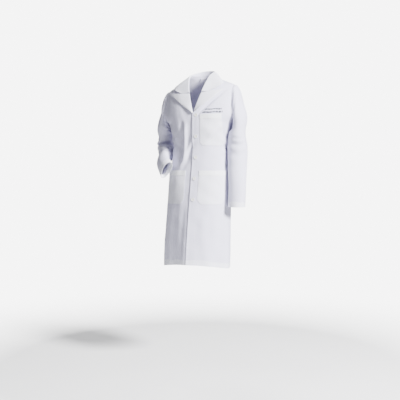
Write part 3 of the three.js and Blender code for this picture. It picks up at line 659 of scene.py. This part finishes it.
def front_cloth(side):
    share, v = shares(76, 190)
    share = share ** 1.08
    z = lerp(hem_at(side * share * 90), front_top(side, share), v)
    phi = front_phi(side, share, z)
    edge = ridge(share, 0.012) * 0.9 if side > 0 else 0.0
    points = coat(phi, z, edge - under_drop(side, phi) - seam_dip(phi))
    obj = grid(f"{LABEL[side]}_front_cloth", points, out=skin_normal(phi, z))
    finish_panel(obj, side)
    nodes = [f"{LABEL[side]}_front", f"{LABEL[side]}_skirt_flap"]
    return cloth_piece(obj, nodes, swinging(side))


def strip_inside(side, name, node, phi, z, place, drop=LAYER):
    """A strip on the inside of a panel, through the given angles and heights."""
    points = coat(phi, z, -drop - under_drop(side, phi) - seam_dip(phi))
    obj = thicken(grid(name, points, out=skin_normal(phi, z)), 0.9)
    return cloth_piece(obj, [node], place, material=TRIM)


def back_cloth(side):
    u, v = shares(62, 190)
    phi = side * lerp(90.0, 180.0, u)
    z = lerp(hem_at(phi), -0.5, v)
    phi = phi + 0 * z
    points = coat(phi, z, -seam_dip(phi))
    obj = grid(f"{LABEL[side]}_back_cloth", points, out=skin_normal(phi, z))
    finish_panel(obj, side)
    return cloth_piece(obj, [f"{LABEL[side]}_back"], BODY)


for side, label in LABEL.items():
    front_cloth(side)
    back_cloth(side)
    u, v = shares(16, 170)
    z = lerp(HEM_Z + 29, BREAK_Z - 6, v) + 0 * u
    phi = side * phi_at(front_edge(side) + 1 + u * FACING_WIDTH, z)
    strip_inside(side, f"{label}_facing_cloth", f"{label}_facing", phi, z, swinging(side))
    u = np.linspace(0.01, 0.985, 70)[:, None]
    turn_up = lerp(1.0, HEM_TURN, np.linspace(0, 1, 8)[None, :])
    z = hem_at(side * u * 90) + turn_up
    strip_inside(side, f"{label}_skirt_hem_cloth", f"{label}_skirt_hem", front_phi(side, u, z), z,
                 swinging(side), 2 * LAYER)
    phi = side * lerp(92.0, 179.0, u)
    z = hem_at(phi) + turn_up
    strip_inside(side, f"{label}_back_hem_cloth", f"{label}_back_hem", phi + 0 * z, z, BODY)

# ---- collar and lapels ----


def roll_x(z):
    return vee_half_width(z) + 0.6


def chest(x, z, off):
    return coat(phi_at(x, z), z, off)


def collar_lines(share):
    """The collar's seam at the neck, its fold and outer edge, and the way out from the neck;
    share runs from the right end to the left end."""
    side = np.where(share < 0.5, -1.0, 1.0)
    from_back = np.abs(share - 0.5) * 2
    gorge_phi = phi_at(roll_x(GORGE_Z), GORGE_Z)
    to_side, to_end = from_back / 0.55, (from_back - 0.55) / 0.45
    behind = from_back < 0.55
    neck_phi = np.where(behind, lerp(180, 90, to_side), lerp(90, gorge_phi, to_end))
    notch_phi = phi_at(NOTCH[0] + 12, NOTCH[1] + 8)
    outer_phi = np.where(behind, neck_phi, lerp(90, notch_phi, to_end))
    low = vee_height(lambda z: neck_phi, np.full(share.shape, GORGE_Z), 30)
    neck_z = np.where(neck_phi < 90, low + 0.5, 0.5)
    outer_z = np.where(behind, lerp(-48, COLLAR_SIDE_Z, to_side),
                       lerp(COLLAR_SIDE_Z, NOTCH[1] + 10, to_end))
    neck = skin(side * neck_phi, neck_z)
    turn = np.radians(side * neck_phi)
    out = np.stack([np.sin(turn), -np.cos(turn), 0 * turn], axis=-1)
    stand = lerp(25.0, 4.0, ease(from_back / 0.75))[:, None]
    fold = neck + out * 3 + np.array([0, 0, 1.0]) * stand
    outer = skin(side * outer_phi, outer_z) + skin_normal(side * outer_phi, outer_z) * 3.4
    return neck, fold, outer, out


def collar_surface(share, v, level):
    """The falling part of the collar: v is 0 at the fold and 1 at the outer edge."""
    neck, fold, outer, out = collar_lines(share)
    rise = unit(out + 1.1 * UP)[:, None, :]
    v = v[None, :, None]
    bulge = 2.6 * np.sin(np.pi * v) + 1.1 * np.sin(np.pi * v) * np.sin(share * 31)[:, None, None]
    at_end = ease((np.abs(share - 0.5) * 2 - 0.8) / 0.2)[:, None, None]
    notch = 8.0 * at_end * np.sin(np.pi * v ** 1.2)
    return lerp(fold[:, None], outer[:, None], v) + rise * (bulge + level) - UP * notch


def collar():
    share = np.linspace(0, 1, 150)
    neck, fold, outer, out = collar_lines(share)
    outwards = unit(out + UP)[:, None, :]
    fall = collar_surface(share, np.linspace(0, 1, 26), 1.9)
    inner = fold - out * 2.6 - UP * 2.0
    arc = [lerp(inner, fall[:, 0], w)[:, None] + (UP * 2.6 * math.sin(math.pi * w))
           for w in (0, 0.2, 0.45, 0.75)]
    points = np.concatenate(arc + [fall], axis=1) * MM
    upper = thicken(grid("collar_cloth", points, out=outwards), 1.0)
    under_points = collar_surface(share, np.linspace(0.03, 0.985, 20), 0.2) * MM
    under = thicken(grid("collar_under_cloth", under_points, out=outwards), 0.9)
    foot, top = neck + UP * 0.4 - out * 0.6, fold - out * 2.8 - UP * 2.2
    w = np.linspace(0, 1, 10)[None, :, None]
    hollow = out[:, None] * 1.4 * np.sin(np.pi * w)
    band_points = (lerp(foot[:, None], top[:, None], w) - hollow) * MM
    band_piece = thicken(grid("collar_band_cloth", band_points, out=-out[:, None, :]), 1.0, 0.0)
    cloth_piece(upper, ["upper_collar"], BODY,
                material=DOUBLE)
    cloth_piece(under, ["under_collar"], BODY)
    cloth_piece(band_piece, ["collar_stand"], BODY)
    edge = collar_surface(share, np.array([0.92]), 2.2)[:, 0] * MM
    return stitch_row(edge, unit(out + UP), pitch=4.0)


def lapel_surface(side, u, v, lift=0.0):
    """A lapel: u is 0 at the break and 1 at the gorge, v 0 at the roll and 1 at the outer edge."""
    roll_z = lerp(BREAK_Z, GORGE_Z, u)
    outer_u = ease(u) * 0.25 + u * 0.75
    outer_x = lerp(roll_x(BREAK_Z) + 3, LAPEL_TIP[0], outer_u) + 5 * np.sin(np.pi * u)
    outer_z = lerp(BREAK_Z + 3, LAPEL_TIP[1], outer_u)
    x = lerp(roll_x(roll_z), outer_x, v)
    z = lerp(roll_z, outer_z, v)
    puff = 3.4 * np.sin(np.pi * np.clip(v * 0.82, 0, 1)) * (1 - 0.35 * u)
    if side > 0:
        puff = 0.45 * puff + 6.5 * v ** 1.4 * (1 - 0.6 * u * u) * ease(u * 6)
    return chest(side * x, z, 3.4 + puff + lift), skin_normal(phi_at(side * x, z), z)


ROLL_COLUMNS = 7            # of the lapel's grid, round its roll line


def lapel(side):
    label = LABEL[side]
    u, v = shares(60, 40)
    points, normals = lapel_surface(side, *full(u, v))
    roll_z = lerp(BREAK_Z, GORGE_Z, u[:, 0])
    columns = []
    for w in np.linspace(0, 0.86, ROLL_COLUMNS):
        x = roll_x(roll_z) - 2.6 * math.sin(math.pi * w)
        off = lerp(-1.2, 3.4, (1 - math.cos(math.pi * w)) / 2)
        columns.append(chest(side * np.maximum(x, 0.5), roll_z, off)[:, None])
    points = np.concatenate(columns + [points], axis=1)
    out = np.concatenate([normals[:, :1]] * ROLL_COLUMNS + [normals], axis=1)
    flat_part = (np.arange(out.shape[1]) > 12)[None, :, None]
    obj = thicken(grid(f"{label}_lapel_cloth", points, out=out * flat_part), 1.4)
    cloth_piece(obj, [f"{label}_lapel"], BODY,
                material=DOUBLE)
    t = np.linspace(0.05, 0.985, 50)
    path, up = lapel_surface(side, t, 1 - 5.0 / (20 + 70 * t), 0.3)
    return stitch_row(path, up, pitch=4.0)


rows = [collar(), lapel(1), lapel(-1)]
joined_rows("collar_stitches", rows, BODY)

# ---- pockets ----


def pocket_place(side, pocket, u, share, lift):
    """A point of a patch pocket; share is 0 at its bottom and 1 at its mouth."""
    z = pocket["top"] - pocket["height"] * (1 - share)
    inset = pocket["corner"] * np.clip(1 - share * pocket["height"] / pocket["corner"], 0, 1) * 0.8
    start = phi_at(pocket["x0"] + inset, z)
    end = phi_at(pocket["x1"], z) - inset / half_width(z) * DEGREES
    phi = side * lerp(start, end, u)
    across = 1 - np.abs(2 * u - 1) ** 3
    puff = pocket["bulge"] * across * ease(share * 1.6)
    puff = puff + 0.8 * across * np.sin(u * 7 + share * 5) * np.sin(share * 9)
    return coat(phi, z, 1.5 + lift + puff), skin_normal(phi, z)


def pocket_piece(name, node, side, pocket):
    u, v = shares(44, 52)
    points, normals = pocket_place(side, pocket, *full(u, v), 0.0)
    obj = thicken(grid(name, points, out=normals))
    cloth_piece(obj, [node], BODY,
                material=DOUBLE)
    low = 1 - pocket["hem"] / pocket["height"]
    v = np.linspace(low, 1, 12)[None, :]
    points, normals = pocket_place(side, pocket, *full(u, v), 1.0)
    hem = thicken(grid(f"{name}_hem", points, out=normals), 1.0)
    cloth_piece(hem, [f"{node}_hem"], BODY,
                material=TRIM)
    t = np.linspace(0, 1, 60)
    inside = 4.5 / (pocket["x1"] - pocket["x0"])
    made = []
    for u_row, v_row in ((inside + 0 * t, t), (1 - inside + 0 * t, t),
                         (lerp(inside, 1 - inside, t), 0.03 + 0 * t),
                         (lerp(0.01, 0.99, t), low + 0.015 + 0 * t)):
        path, up = pocket_place(side, pocket, u_row, v_row, 0.3 if v_row[0] < low else 1.3)
        made.append(stitch_row(path, up))
    return made


rows = pocket_piece("chest_pocket_cloth", "chest_pocket", 1, CHEST_POCKET)
rows += pocket_piece("left_pocket_cloth", "left_pocket", 1, HIP_POCKET)
rows += pocket_piece("right_pocket_cloth", "right_pocket", -1, HIP_POCKET)
joined_rows("pocket_stitches", rows, BODY)

# ---- stitching on the panels ----
for side, label in LABEL.items():
    z = np.linspace(BREAK_Z - 8, HEM_Z + 28, 300)
    t = np.linspace(0, 1, 300)
    rows = []
    if side > 0:
        rows.append(stitch_on_coat(phi_at(FRONT_EDGE_X + 6, z), z))
        rows.append(stitch_on_coat(phi_at(FRONT_EDGE_X + lerp(24, 34, t), z), z))
    share = lerp(0.02 if side > 0 else 0.2, 0.985, t)
    hem_z = hem_at(side * share * 90) + HEM_STITCH
    phi = front_phi(side, share, hem_z)
    rows.append(stitch_on_coat(phi, hem_z, 0.3 - under_drop(side, phi)))
    joined_rows(f"{label}_front_stitches", rows, swinging(side))
    phi = side * lerp(91.0, 179.0, t)
    rows = [stitch_on_coat(phi, hem_at(phi) + HEM_STITCH)]
    z = np.linspace(-14, HEM_Z + 4, 300)
    rows.append(stitch_on_coat(side * (180 - 4 / half_width(z) * DEGREES), z, 0.2))
    joined_rows(f"{label}_back_stitches", rows, BODY)

# ---- sleeves ----


def spline(rows, at):
    """A smooth curve through rows of numbers, at a position counted in rows."""
    rows = np.asarray(rows, float)
    last = len(rows) - 1
    i = np.clip(np.floor(at).astype(int), 0, last - 1)
    t = (at - i)[..., None]
    p0, p1, p2, p3 = [rows[np.clip(i + k, 0, last)] for k in (-1, 0, 1, 2)]
    return 0.5 * (2 * p1 + (p2 - p0) * t + (2 * p0 - 5 * p1 + 4 * p2 - p3) * t * t
                  + (3 * p1 - p0 - 3 * p2 + p3) * t ** 3)


def plain(phi, z, off):
    return skin(phi, z) + skin_normal(phi, z) * off


# How far each section of a sleeve's head stands out and down at its top, and out and down at its
# underarm, and its half depth.
CAP_ROWS = ((0, 0, 0, 0, 58), (14, 7, 0.3, 3, 59), (27, 26, 0.6, 7, 60), (36, 56, 0.8, 11, 61),
            (46, 100, 1, 15, 61))


BACKWARDS = np.array([0, 1.0, 0])


def cap_stations(side):
    """Centre, outward direction, direction across, and the two half sizes, for the sleeve head."""
    top = SHOULDER_Z + float(tilt_at(side * SHOULDER_HALF_WIDTH, SHOULDER_Z)) + 1
    bottom = top - ARMHOLE_DROP
    made = []
    for out, down, inward, below, depth in CAP_ROWS:
        high = np.array([side * (ARMHOLE_X + out), ARM_Y, top - down])
        low = np.array([side * (ARMHOLE_X + inward), ARM_Y, bottom - below])
        away = high - low
        made.append(((high + low) / 2, unit(away), BACKWARDS, np.linalg.norm(away) / 2, depth))
    return made


def hanging(z, y, half_away, half_across):
    inner = float(lean_at(z) + half_width(z)) + 6
    return (np.array([inner + half_away, y, z]), np.array([1.0, 0, 0]), BACKWARDS, half_away,
            half_across)


LEFT_STATIONS = cap_stations(1) + [
    (np.array([199.0, 2, -244]), unit(np.array([1, 0, 0.25])), BACKWARDS, 32, 60),
    hanging(-295.0, 0, 38, 57), hanging(-352.0, 0, 46, 46), hanging(-449.7, -12, 44, 48),
    hanging(-550.3, -28, 43, 46), hanging(-648.0, -40, 42, 45),
]
RIGHT_PIVOT = np.array([-ARMHOLE_X, ARM_Y, -163.6])
RIGHT_ELBOW = plain(-108.0, -348.0, 84.0)
RUN = [RIGHT_PIVOT + (-31, 6, -104), RIGHT_PIVOT + (-41, 34, -150)]
UPPER = unit(RIGHT_ELBOW - RUN[1])
REACH = [(-97.0, -378.0, 60, 40, 48), (-80.0, -408.0, 40, 33, 50),
         (-61.0, -441.0, 47, 28, 50), (-44.0, -474.0, 42, 24, 50)]
REACH_POINTS = [plain(phi, z, max(off, half + 6)) for phi, z, off, half, _ in REACH]
FORE = unit(REACH_POINTS[0] - RIGHT_ELBOW)
MITRE = unit(UPPER + FORE)


def square_to(direction, hint):
    return unit(hint - direction * np.dot(hint, direction))


def right_stations():
    away = square_to(MITRE, np.array([-1.0, 0, 0]))
    made = cap_stations(-1)
    made.append((RUN[0], unit(np.array([-1, 0, 0.2])), unit(np.array([0, 1, 0.1])), 33, 58))
    made.append((RUN[1], unit(np.array([-1, -0.1, 0.1])), unit(np.array([0, 0.9, 0.35])), 38, 53))
    for centre, direction, depth in ((RIGHT_ELBOW - UPPER * 20, lerp(UPPER, FORE, 0.25), 50),
                                     (RIGHT_ELBOW, lerp(UPPER, FORE, 0.5), 55),
                                     (RIGHT_ELBOW + FORE * 20, lerp(UPPER, FORE, 0.75), 50)):
        across = unit(np.cross(away, unit(direction)))
        made.append((centre, away, across if across[1] > 0 else -across, 44, depth))
    line = [RIGHT_ELBOW] + REACH_POINTS
    for k, (phi, z, _, half_away, half_across) in enumerate(REACH, start=1):
        direction = unit(line[min(k + 1, 4)] - line[k - 1])
        out = square_to(direction, skin_normal(phi, z))
        across = np.cross(direction, out)
        if np.dot(across, made[-1][2]) < 0:
            across = -across
        made.append((line[k], out, across, half_away, half_across))
    return made


RIGHT_STATIONS = right_stations()
RIGHT_ELBOW_AT = 8


def armhole_radius(side):
    """The armhole's outline in its own plane, as a distance from its centre by angle."""
    z = np.linspace(-58, -262, 240)
    share = (SHOULDER_HALF_WIDTH - side * lean_at(z)) / half_width(z)
    z, share = z[share < 1], share[share < 1]
    phi = np.degrees(np.arcsin(share ** (SECTION_POWER / 2)))
    front = skin(side * phi, z)[:, 1:]
    back = skin(side * (180 - phi), z)[:, 1:]
    loop = np.concatenate([front, back[::-1]])
    centre = np.array([ARM_Y, cap_stations(side)[0][0][2]])
    angle = np.arctan2(loop[:, 0] - centre[0], loop[:, 1] - centre[1])
    radius = np.linalg.norm(loop - centre, axis=1)
    order = np.argsort(angle)
    return angle[order], radius[order], centre


def wrinkles(side, at, theta):
    """How far a sleeve's cloth stands off its plain shape; theta is 0 on the outside."""
    front = np.clip(-np.sin(theta), 0, 1)
    inside = np.clip(-np.cos(theta), 0, 1)
    out = 1.5 * np.sin(3 * theta + at * 1.7) * ease((at - 1.5) / 2)
    if side > 0:
        elbow = ridge(at - 7.0, 0.75) * (0.15 + front) * 1.9
        out += elbow * np.sin(at * 11 + 1.9 * np.sin(theta) + 0.8 * np.sin(theta * 2))
        long_fold = ridge(np.cos((theta + 0.95 + 0.16 * (at - 6)) / 2), 0.16)
        out += 3.2 * long_fold * band(at, 2.4, 9.6, 1.6)
        valley = ridge(np.cos((theta + 0.45 + 0.20 * (at - 6)) / 2), 0.14)
        out -= 3.0 * valley * band(at, 3.0, 9.2, 1.6)
        spiral = at * 1.9 + theta * 1.3
        out += 2.6 * np.sin(spiral) * band(at, 4.2, 9.9, 1.2) * (0.6 + 0.4 * np.sin(theta + 0.6))
        out += inside * 2.4 * np.sin(at * 9) * band(at, 4.2, 6.4, 0.8)
        out += inside * 5.0 * band(at, 5.2, 9.0, 0.9)
        return out
    elbow = ridge(at - RIGHT_ELBOW_AT, 1.5) * (0.4 + front) * 1.3
    out += elbow * np.sin(at * 5.5 + 3.0 * np.sin(theta + 0.4) + 0.8 * np.sin(theta * 3))
    spiral = at * 3.4 - theta * 1.5
    out += 4.6 * np.sin(spiral) * band(at, 3.0, 8.8, 1.0) * (0.6 + 0.4 * np.cos(theta))
    out += 1.7 * np.sin(at * 5.1 - theta * 2.2) * band(at, 3.4, 7.8, 1.0)
    out += 3.0 * np.sin(at * 6.4 + theta * 1.4) * band(at, 8.6, 11.9, 0.8)
    out += inside * 3.5 * band(at, 9.2, 12.0, 0.6)
    out += inside * 2.6 * np.sin(at * 9) * band(at, 4.2, 6.2, 0.8)
    return out


def sleeve_points(side, stations, at, theta, drop=0.0):
    """Points of a sleeve, in millimetres, for positions at along it and angles theta round it."""
    at, theta = np.broadcast_arrays(at, theta)
    clipped = np.clip(at, 0, len(stations) - 1)
    centre = spline([s[0] for s in stations], clipped)
    away = unit(spline([s[1] for s in stations], clipped))
    across = unit(spline([s[2] for s in stations], clipped))
    half = spline([(s[3], s[4]) for s in stations], clipped)
    grow = wrinkles(side, at, theta) - drop
    offset = (away * ((half[..., :1] + grow[..., None]) * np.cos(theta)[..., None])
              + across * ((half[..., 1:] + grow[..., None]) * np.sin(theta)[..., None]))
    angle, radius, middle = armhole_radius(side)
    turn = np.arctan2(offset[..., 1], offset[..., 2])
    reach = np.interp(turn, angle, radius, period=2 * np.pi) - 1.2 - drop
    hole = np.stack([0 * turn, np.sin(turn) * reach, np.cos(turn) * reach], axis=-1)
    share = ease(1 - at / 1.6)[..., None]
    hole_centre = np.array([side * ARMHOLE_X, middle[0], middle[1]]) + 0 * centre
    hole_centre[..., 0] += side * np.minimum(at, 0) * 5 + side * np.clip(at, 0, 2) * 14
    points = lerp(centre + offset, hole_centre + hole, share)
    if side < 0:
        height = (points - RIGHT_ELBOW) @ MITRE
        past_elbow = at - RIGHT_ELBOW_AT
        limit = np.clip(past_elbow * 14, -40, 40)
        over = np.where(past_elbow < 0, np.maximum(height - limit * 0.35, 0),
                        np.minimum(height - limit * 0.35, 0))
        near = ease((2.6 - np.abs(past_elbow)) / 0.6)
        points = points - MITRE * (over * near)[..., None]
    return points


def tube(name, points):
    """A sheet closed round its own middle line, looking outwards."""
    return grid(name, points, around=True, out=points - points.mean(axis=0, keepdims=True))


def sleeve(side, stations, split):
    """One sleeve in two overlapping pieces: the upper crosses the shoulder, the lower the elbow."""
    label, end = LABEL[side], len(stations) - 1.0
    theta = np.radians(np.arange(0, 360, 4.0))[:, None]
    cuff_at = end - CUFF_TURN / np.linalg.norm(stations[-1][0] - stations[-2][0])

    at = np.linspace(-0.9, split, int((split + 0.9) / 0.055))[None, :]
    upper = tube(f"{label}_upper_sleeve_cloth", sleeve_points(side, stations, at, theta) * MM)
    thicken(upper, 1.0)
    cloth_piece(upper, [f"{label}_sleeve_cap", f"{label}_upper_sleeve"],
                lambda o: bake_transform(o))

    at = np.linspace(split, end, int((end - split) / 0.04))[None, :]
    points = sleeve_points(side, stations, at, theta) * MM
    lower = tube(f"{label}_lower_sleeve_cloth", points)
    cuff_edge = sleeve_points(side, stations, np.array([[cuff_at]]), theta).mean(axis=(0, 1)) * MM
    along = unit(points[:, -1].mean(axis=0) - cuff_edge)
    mark_double(lower, lambda centres: (centres - cuff_edge) @ along > 0)
    thicken(lower, 1.0)
    cloth_piece(lower, [f"{label}_lower_sleeve"],
                lambda o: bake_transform(o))

    at = np.linspace(cuff_at, end - 0.01, 8)[None, :]
    points = sleeve_points(side, stations, at, theta, LAYER) * MM
    cuff = thicken(tube(f"{label}_cuff_hem_cloth", points), 0.8)
    cloth_piece(cuff, [f"{label}_cuff_hem"], on(f"{label}_forearm"),
                material=TRIM)
    theta = np.radians(np.linspace(0, 360, 200))
    for name, where, body in (("cuff_stitches", cuff_at, f"{label}_forearm"),
                              ("armhole_stitches", 0.12, "coat_body")):
        path = sleeve_points(side, stations, where + 0 * theta, theta, -0.3) * MM
        inner = sleeve_points(side, stations, where + 0 * theta, theta, 3.0) * MM
        joined_rows(f"{label}_{name}", [stitch_row(path, unit(path - inner))], on(body))


sleeve(1, LEFT_STATIONS, 6.0)
sleeve(-1, RIGHT_STATIONS, 5.5)

# ---- buttons, buttonholes, mark, label and loop ----


def strand(name, points, radius, sides=6, flat=1.0, up=(0, -1, 0)):
    """A thread or tape along points in metres; flat below 1 makes it a tape."""
    points = np.asarray(points, float)
    along = unit(np.gradient(points, axis=0))
    side = unit(np.cross(along, np.broadcast_to(np.array(up, float), along.shape)))
    over = np.cross(side, along)
    ring = []
    for k in range(sides):
        turn = 2 * math.pi * k / sides
        ring.append(points + side * radius * math.cos(turn) + over * radius * flat * math.sin(turn))
    rings = np.stack(ring, axis=1)
    n = len(points)
    faces = [(i * sides + k, i * sides + (k + 1) % sides, (i + 1) * sides + (k + 1) % sides,
              (i + 1) * sides + k) for i in range(n - 1) for k in range(sides)]
    faces += [tuple(range(sides))[::-1], tuple((n - 1) * sides + k for k in range(sides))]
    obj = link(name, rings.reshape(-1, 3), faces)
    bm = bmesh.new()
    bm.from_mesh(obj.data)
    bmesh.ops.recalc_face_normals(bm, faces=bm.faces)
    bm.to_mesh(obj.data)
    bm.free()
    return obj


def button_mesh():
    """A four-hole shirt button, 17 mm across, lying in the XY plane."""
    profile = [(0, 0.15), (5.0, 0.1), (7.4, 0.15), (8.2, 0.6), (8.5, 1.2), (8.4, 1.9), (8.0, 2.4),
               (7.3, 2.6), (6.6, 2.5), (6.0, 2.1), (5.4, 1.85), (3.5, 1.75), (0, 1.75)]
    bm = bmesh.new()
    verts = [bm.verts.new((r * MM, 0, h * MM)) for r, h in profile]
    edges = [bm.edges.new((a, b)) for a, b in zip(verts, verts[1:])]
    bmesh.ops.spin(bm, geom=verts + edges, cent=(0, 0, 0), axis=(0, 0, 1), angle=2 * math.pi,
                   steps=48)
    bmesh.ops.remove_doubles(bm, verts=bm.verts, dist=1e-6)
    bmesh.ops.recalc_face_normals(bm, faces=bm.faces)
    mesh = bpy.data.meshes.new("button")
    bm.to_mesh(mesh)
    bm.free()
    obj = add_object("button", mesh)
    drill = bmesh.new()
    for dx, dy in HOLES:
        bmesh.ops.create_cone(drill, cap_ends=True, segments=14, radius1=0.85 * MM,
                              radius2=0.85 * MM, depth=8 * MM,
                              matrix=Matrix.Translation((dx * MM, dy * MM, 0)))
    cutter_mesh = bpy.data.meshes.new("drill")
    drill.to_mesh(cutter_mesh)
    drill.free()
    cutter = add_object("drill", cutter_mesh)
    apply(obj, "BOOLEAN", object=cutter, operation="DIFFERENCE", solver="EXACT")
    bpy.data.objects.remove(cutter)
    bpy.data.meshes.remove(cutter_mesh)
    mesh = obj.data
    bpy.data.objects.remove(obj)
    return mesh


HOLES = [(1.6, 1.6), (-1.6, 1.6), (1.6, -1.6), (-1.6, -1.6)]
BUTTONHOLE_HALF = 10.5
BUTTON_MESH = button_mesh()
holes_rows = []
for k, z in enumerate(BUTTON_Z):
    phi = phi_at(BUTTON_LINE_X, z)
    normal = Vector(skin_normal(phi, z))
    seat = Vector(coat(phi, np.array(z), 0.9))
    turn = normal.to_track_quat("Z", "Y").to_matrix().to_4x4()
    place = Matrix.Translation(seat) @ turn @ Matrix.Rotation(math.radians(17 * k), 4, "Z")
    mesh = BUTTON_MESH.copy()
    mesh.transform(place)
    mesh.polygons.foreach_set("use_smooth", [True] * len(mesh.polygons))
    mesh.set_sharp_from_angle(angle=math.radians(38))
    obj = dress(add_object(f"front_button_{k + 1}", mesh), BUTTON)
    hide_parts(f"button_{k + 1}")
    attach(obj, "coat_body")
    bars = []
    for (ax, ay), (bx, by) in ((HOLES[0], HOLES[3]), (HOLES[1], HOLES[2])):
        for shift in (-0.28, 0.28):
            t = np.linspace(0, 1, 9)
            x, y = lerp(ax, bx, t) + shift, lerp(ay, by, t) + shift
            height = 1.0 + 1.15 * np.sin(np.pi * t) ** 0.5
            local = np.stack([x, y, height], axis=-1) * MM
            world = [place @ Vector(p) for p in local]
            bars.append(strand("bar", [list(p) for p in world], 0.26 * MM, up=tuple(normal)))
    root = [list(place @ Vector((0, 0, h * MM))) for h in (-4.2, -2.0, 0.6, 1.2)]
    bars.append(strand("bar", root, 1.2 * MM, up=(1, 0, 0)))
    knot = joined_rows(f"button_sewing_{k + 1}", bars, BODY)
    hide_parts(f"button_thread_{k + 1}")
    for edge_x in (-1.5, 1.5):
        hz = np.linspace(z - BUTTONHOLE_HALF, z + BUTTONHOLE_HALF, 60)
        holes_rows.append(stitch_on_coat(phi_at(BUTTON_LINE_X + edge_x, hz), hz, 0.15,
                                         pitch=0.62, length=0.5, radius=0.55))
joined_rows("buttonhole_stitches", holes_rows, BODY)

# A generic satin-stitched wave stands where such a coat may carry its wearer's name. Its two rows
# are given by their number of threads, their ends, their least half height and their middle height.
MARK_ROWS = ((75, 58, 134, 1.7, -178.0), (95, 48, 138, 2.1, -191.5))
threads = []
s = np.linspace(-1, 1, 5)
for count, start, end, least, level in MARK_ROWS:
    for t in [k / (count - 1) for k in range(count)]:
        if math.sin(t * 41) > 0.82:
            continue
        swell = abs(math.sin(t * math.pi * 7.5)) * (0.7 + 0.3 * math.sin(t * 9))
        z = level + 0.7 * math.sin(t * math.pi * 4) + s * (least + 2.3 * swell)
        x = lerp(start, end, t) + s * 0.7
        points = coat(phi_at(x, z), z, 0.15 + 0.5 * (1 - s * s))
        threads.append(strand("satin", points, 0.56 * MM, sides=5))
mark = joined_rows("stitched_wave_mark", threads, BODY)
dress(mark, MARK)
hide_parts("stitched_mark")

u, v = shares(20, 12)
phi, z = full(lerp(172.5, 187.5, u), lerp(-34, -12, v))
label = thicken(grid("neck_label_cloth", coat(phi, z, -1.9), out=-skin_normal(phi, z)), 0.5)
cloth_piece(label, ["neck_label"], BODY,
            material=TRIM)
t = np.linspace(-1, 1, 33)
foot = plain(180 - 24 * t / 56 * DEGREES, -6.0 + 0 * t, -4.9)
loop = foot + np.stack([0 * t, -9 * (1 - t ** 4), -8 * (1 - t ** 4)], axis=-1)
loop_piece = strand("hanger_loop_tape", loop * MM, 2.6 * MM, sides=12, flat=0.45, up=(0, 0.5, 0.8))
dress(loop_piece, TRIM)
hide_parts("hanger_loop")
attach(loop_piece, "coat_body")

# ---- floor and light ----
FLOOR_Z = -1.455
FLOOR_RADIUS = 2.4
FLOOR_SIDES = 96
SKY_STRENGTH = 0.24
BACKDROP_STRENGTH = 7.0


def floor_material():
    """A matt white floor that fades out towards its rim."""
    material = plain_material("pale_floor", (0.93, 0.93, 0.94), 0.6, grain=2.0, bump=0.0)
    tree = material.node_tree
    place = new_node(tree, "TexCoord")
    scale = new_node(tree, "Mapping", {"Scale": (1 / FLOOR_RADIUS,) * 3,
                                       "Vector": place.outputs["Object"]})
    fade = new_node(tree, "TexGradient", {"Vector": scale.outputs["Vector"]},
                    gradient_type="QUADRATIC_SPHERE")
    gain = new_node(tree, "Math", {0: fade.outputs["Fac"], 1: 3.0}, operation="MULTIPLY",
                    use_clamp=True)
    mixed = new_node(tree, "MixShader", {
        0: gain.outputs[0], 1: new_node(tree, "BsdfTransparent").outputs[0],
        2: tree.nodes["Principled BSDF"].outputs[0]})
    feed(tree, tree.nodes["Material Output"], {"Surface": mixed.outputs[0]})
    return material


floor_mesh = bpy.data.meshes.new("floor")
turns = [2 * math.pi * k / FLOOR_SIDES for k in range(FLOOR_SIDES)]
rim = [(FLOOR_RADIUS * math.cos(turn), FLOOR_RADIUS * math.sin(turn), 0) for turn in turns]
floor_mesh.from_pydata(rim, [], [tuple(range(FLOOR_SIDES))])
floor = add_object("floor", floor_mesh)
floor.location.z = FLOOR_Z
floor_mesh.materials.append(floor_material())

world = bpy.context.scene.world or bpy.data.worlds.new("world")
bpy.context.scene.world = world
world.use_nodes = True
tree = world.node_tree
sky = tree.nodes["Background"]
feed(tree, sky, {"Color": (0.97, 0.98, 1.0, 1), "Strength": SKY_STRENGTH})
backdrop = new_node(tree, "Background", {"Color": (1.0, 1.0, 1.0, 1),
                                         "Strength": BACKDROP_STRENGTH})
either = new_node(tree, "MixShader", {
    0: new_node(tree, "LightPath").outputs["Is Camera Ray"], 1: sky.outputs[0],
    2: backdrop.outputs[0]})
feed(tree, tree.nodes["World Output"], {"Surface": either.outputs[0]})


# Each lamp's name, place, aim, size in metres, power in watts and colour.
LAMPS = [
    ("key", (3.95, -1.75, 1.9), (0, 0, -0.45), 1.1, 1400, (1, 1, 1)),
    ("front", (-0.4, -4.6, 1.2), (0, 0, -0.5), 1.8, 30, (1, 1, 1)),
    ("fill", (-3.4, -2.6, 0.4), (0, 0, -0.5), 2.6, 14, (0.93, 0.95, 1.0)),
    ("rim", (-2.4, 3.0, 2.0), (0, 0, -0.4), 1.6, 160, (1, 1, 1)),
]
for name, place, at, size, power, color in LAMPS:
    data = bpy.data.lights.new(name, "AREA")
    data.shape = "DISK"
    data.size = size
    data.energy = power
    data.color = color
    aim(add_object(name, data), place, at)
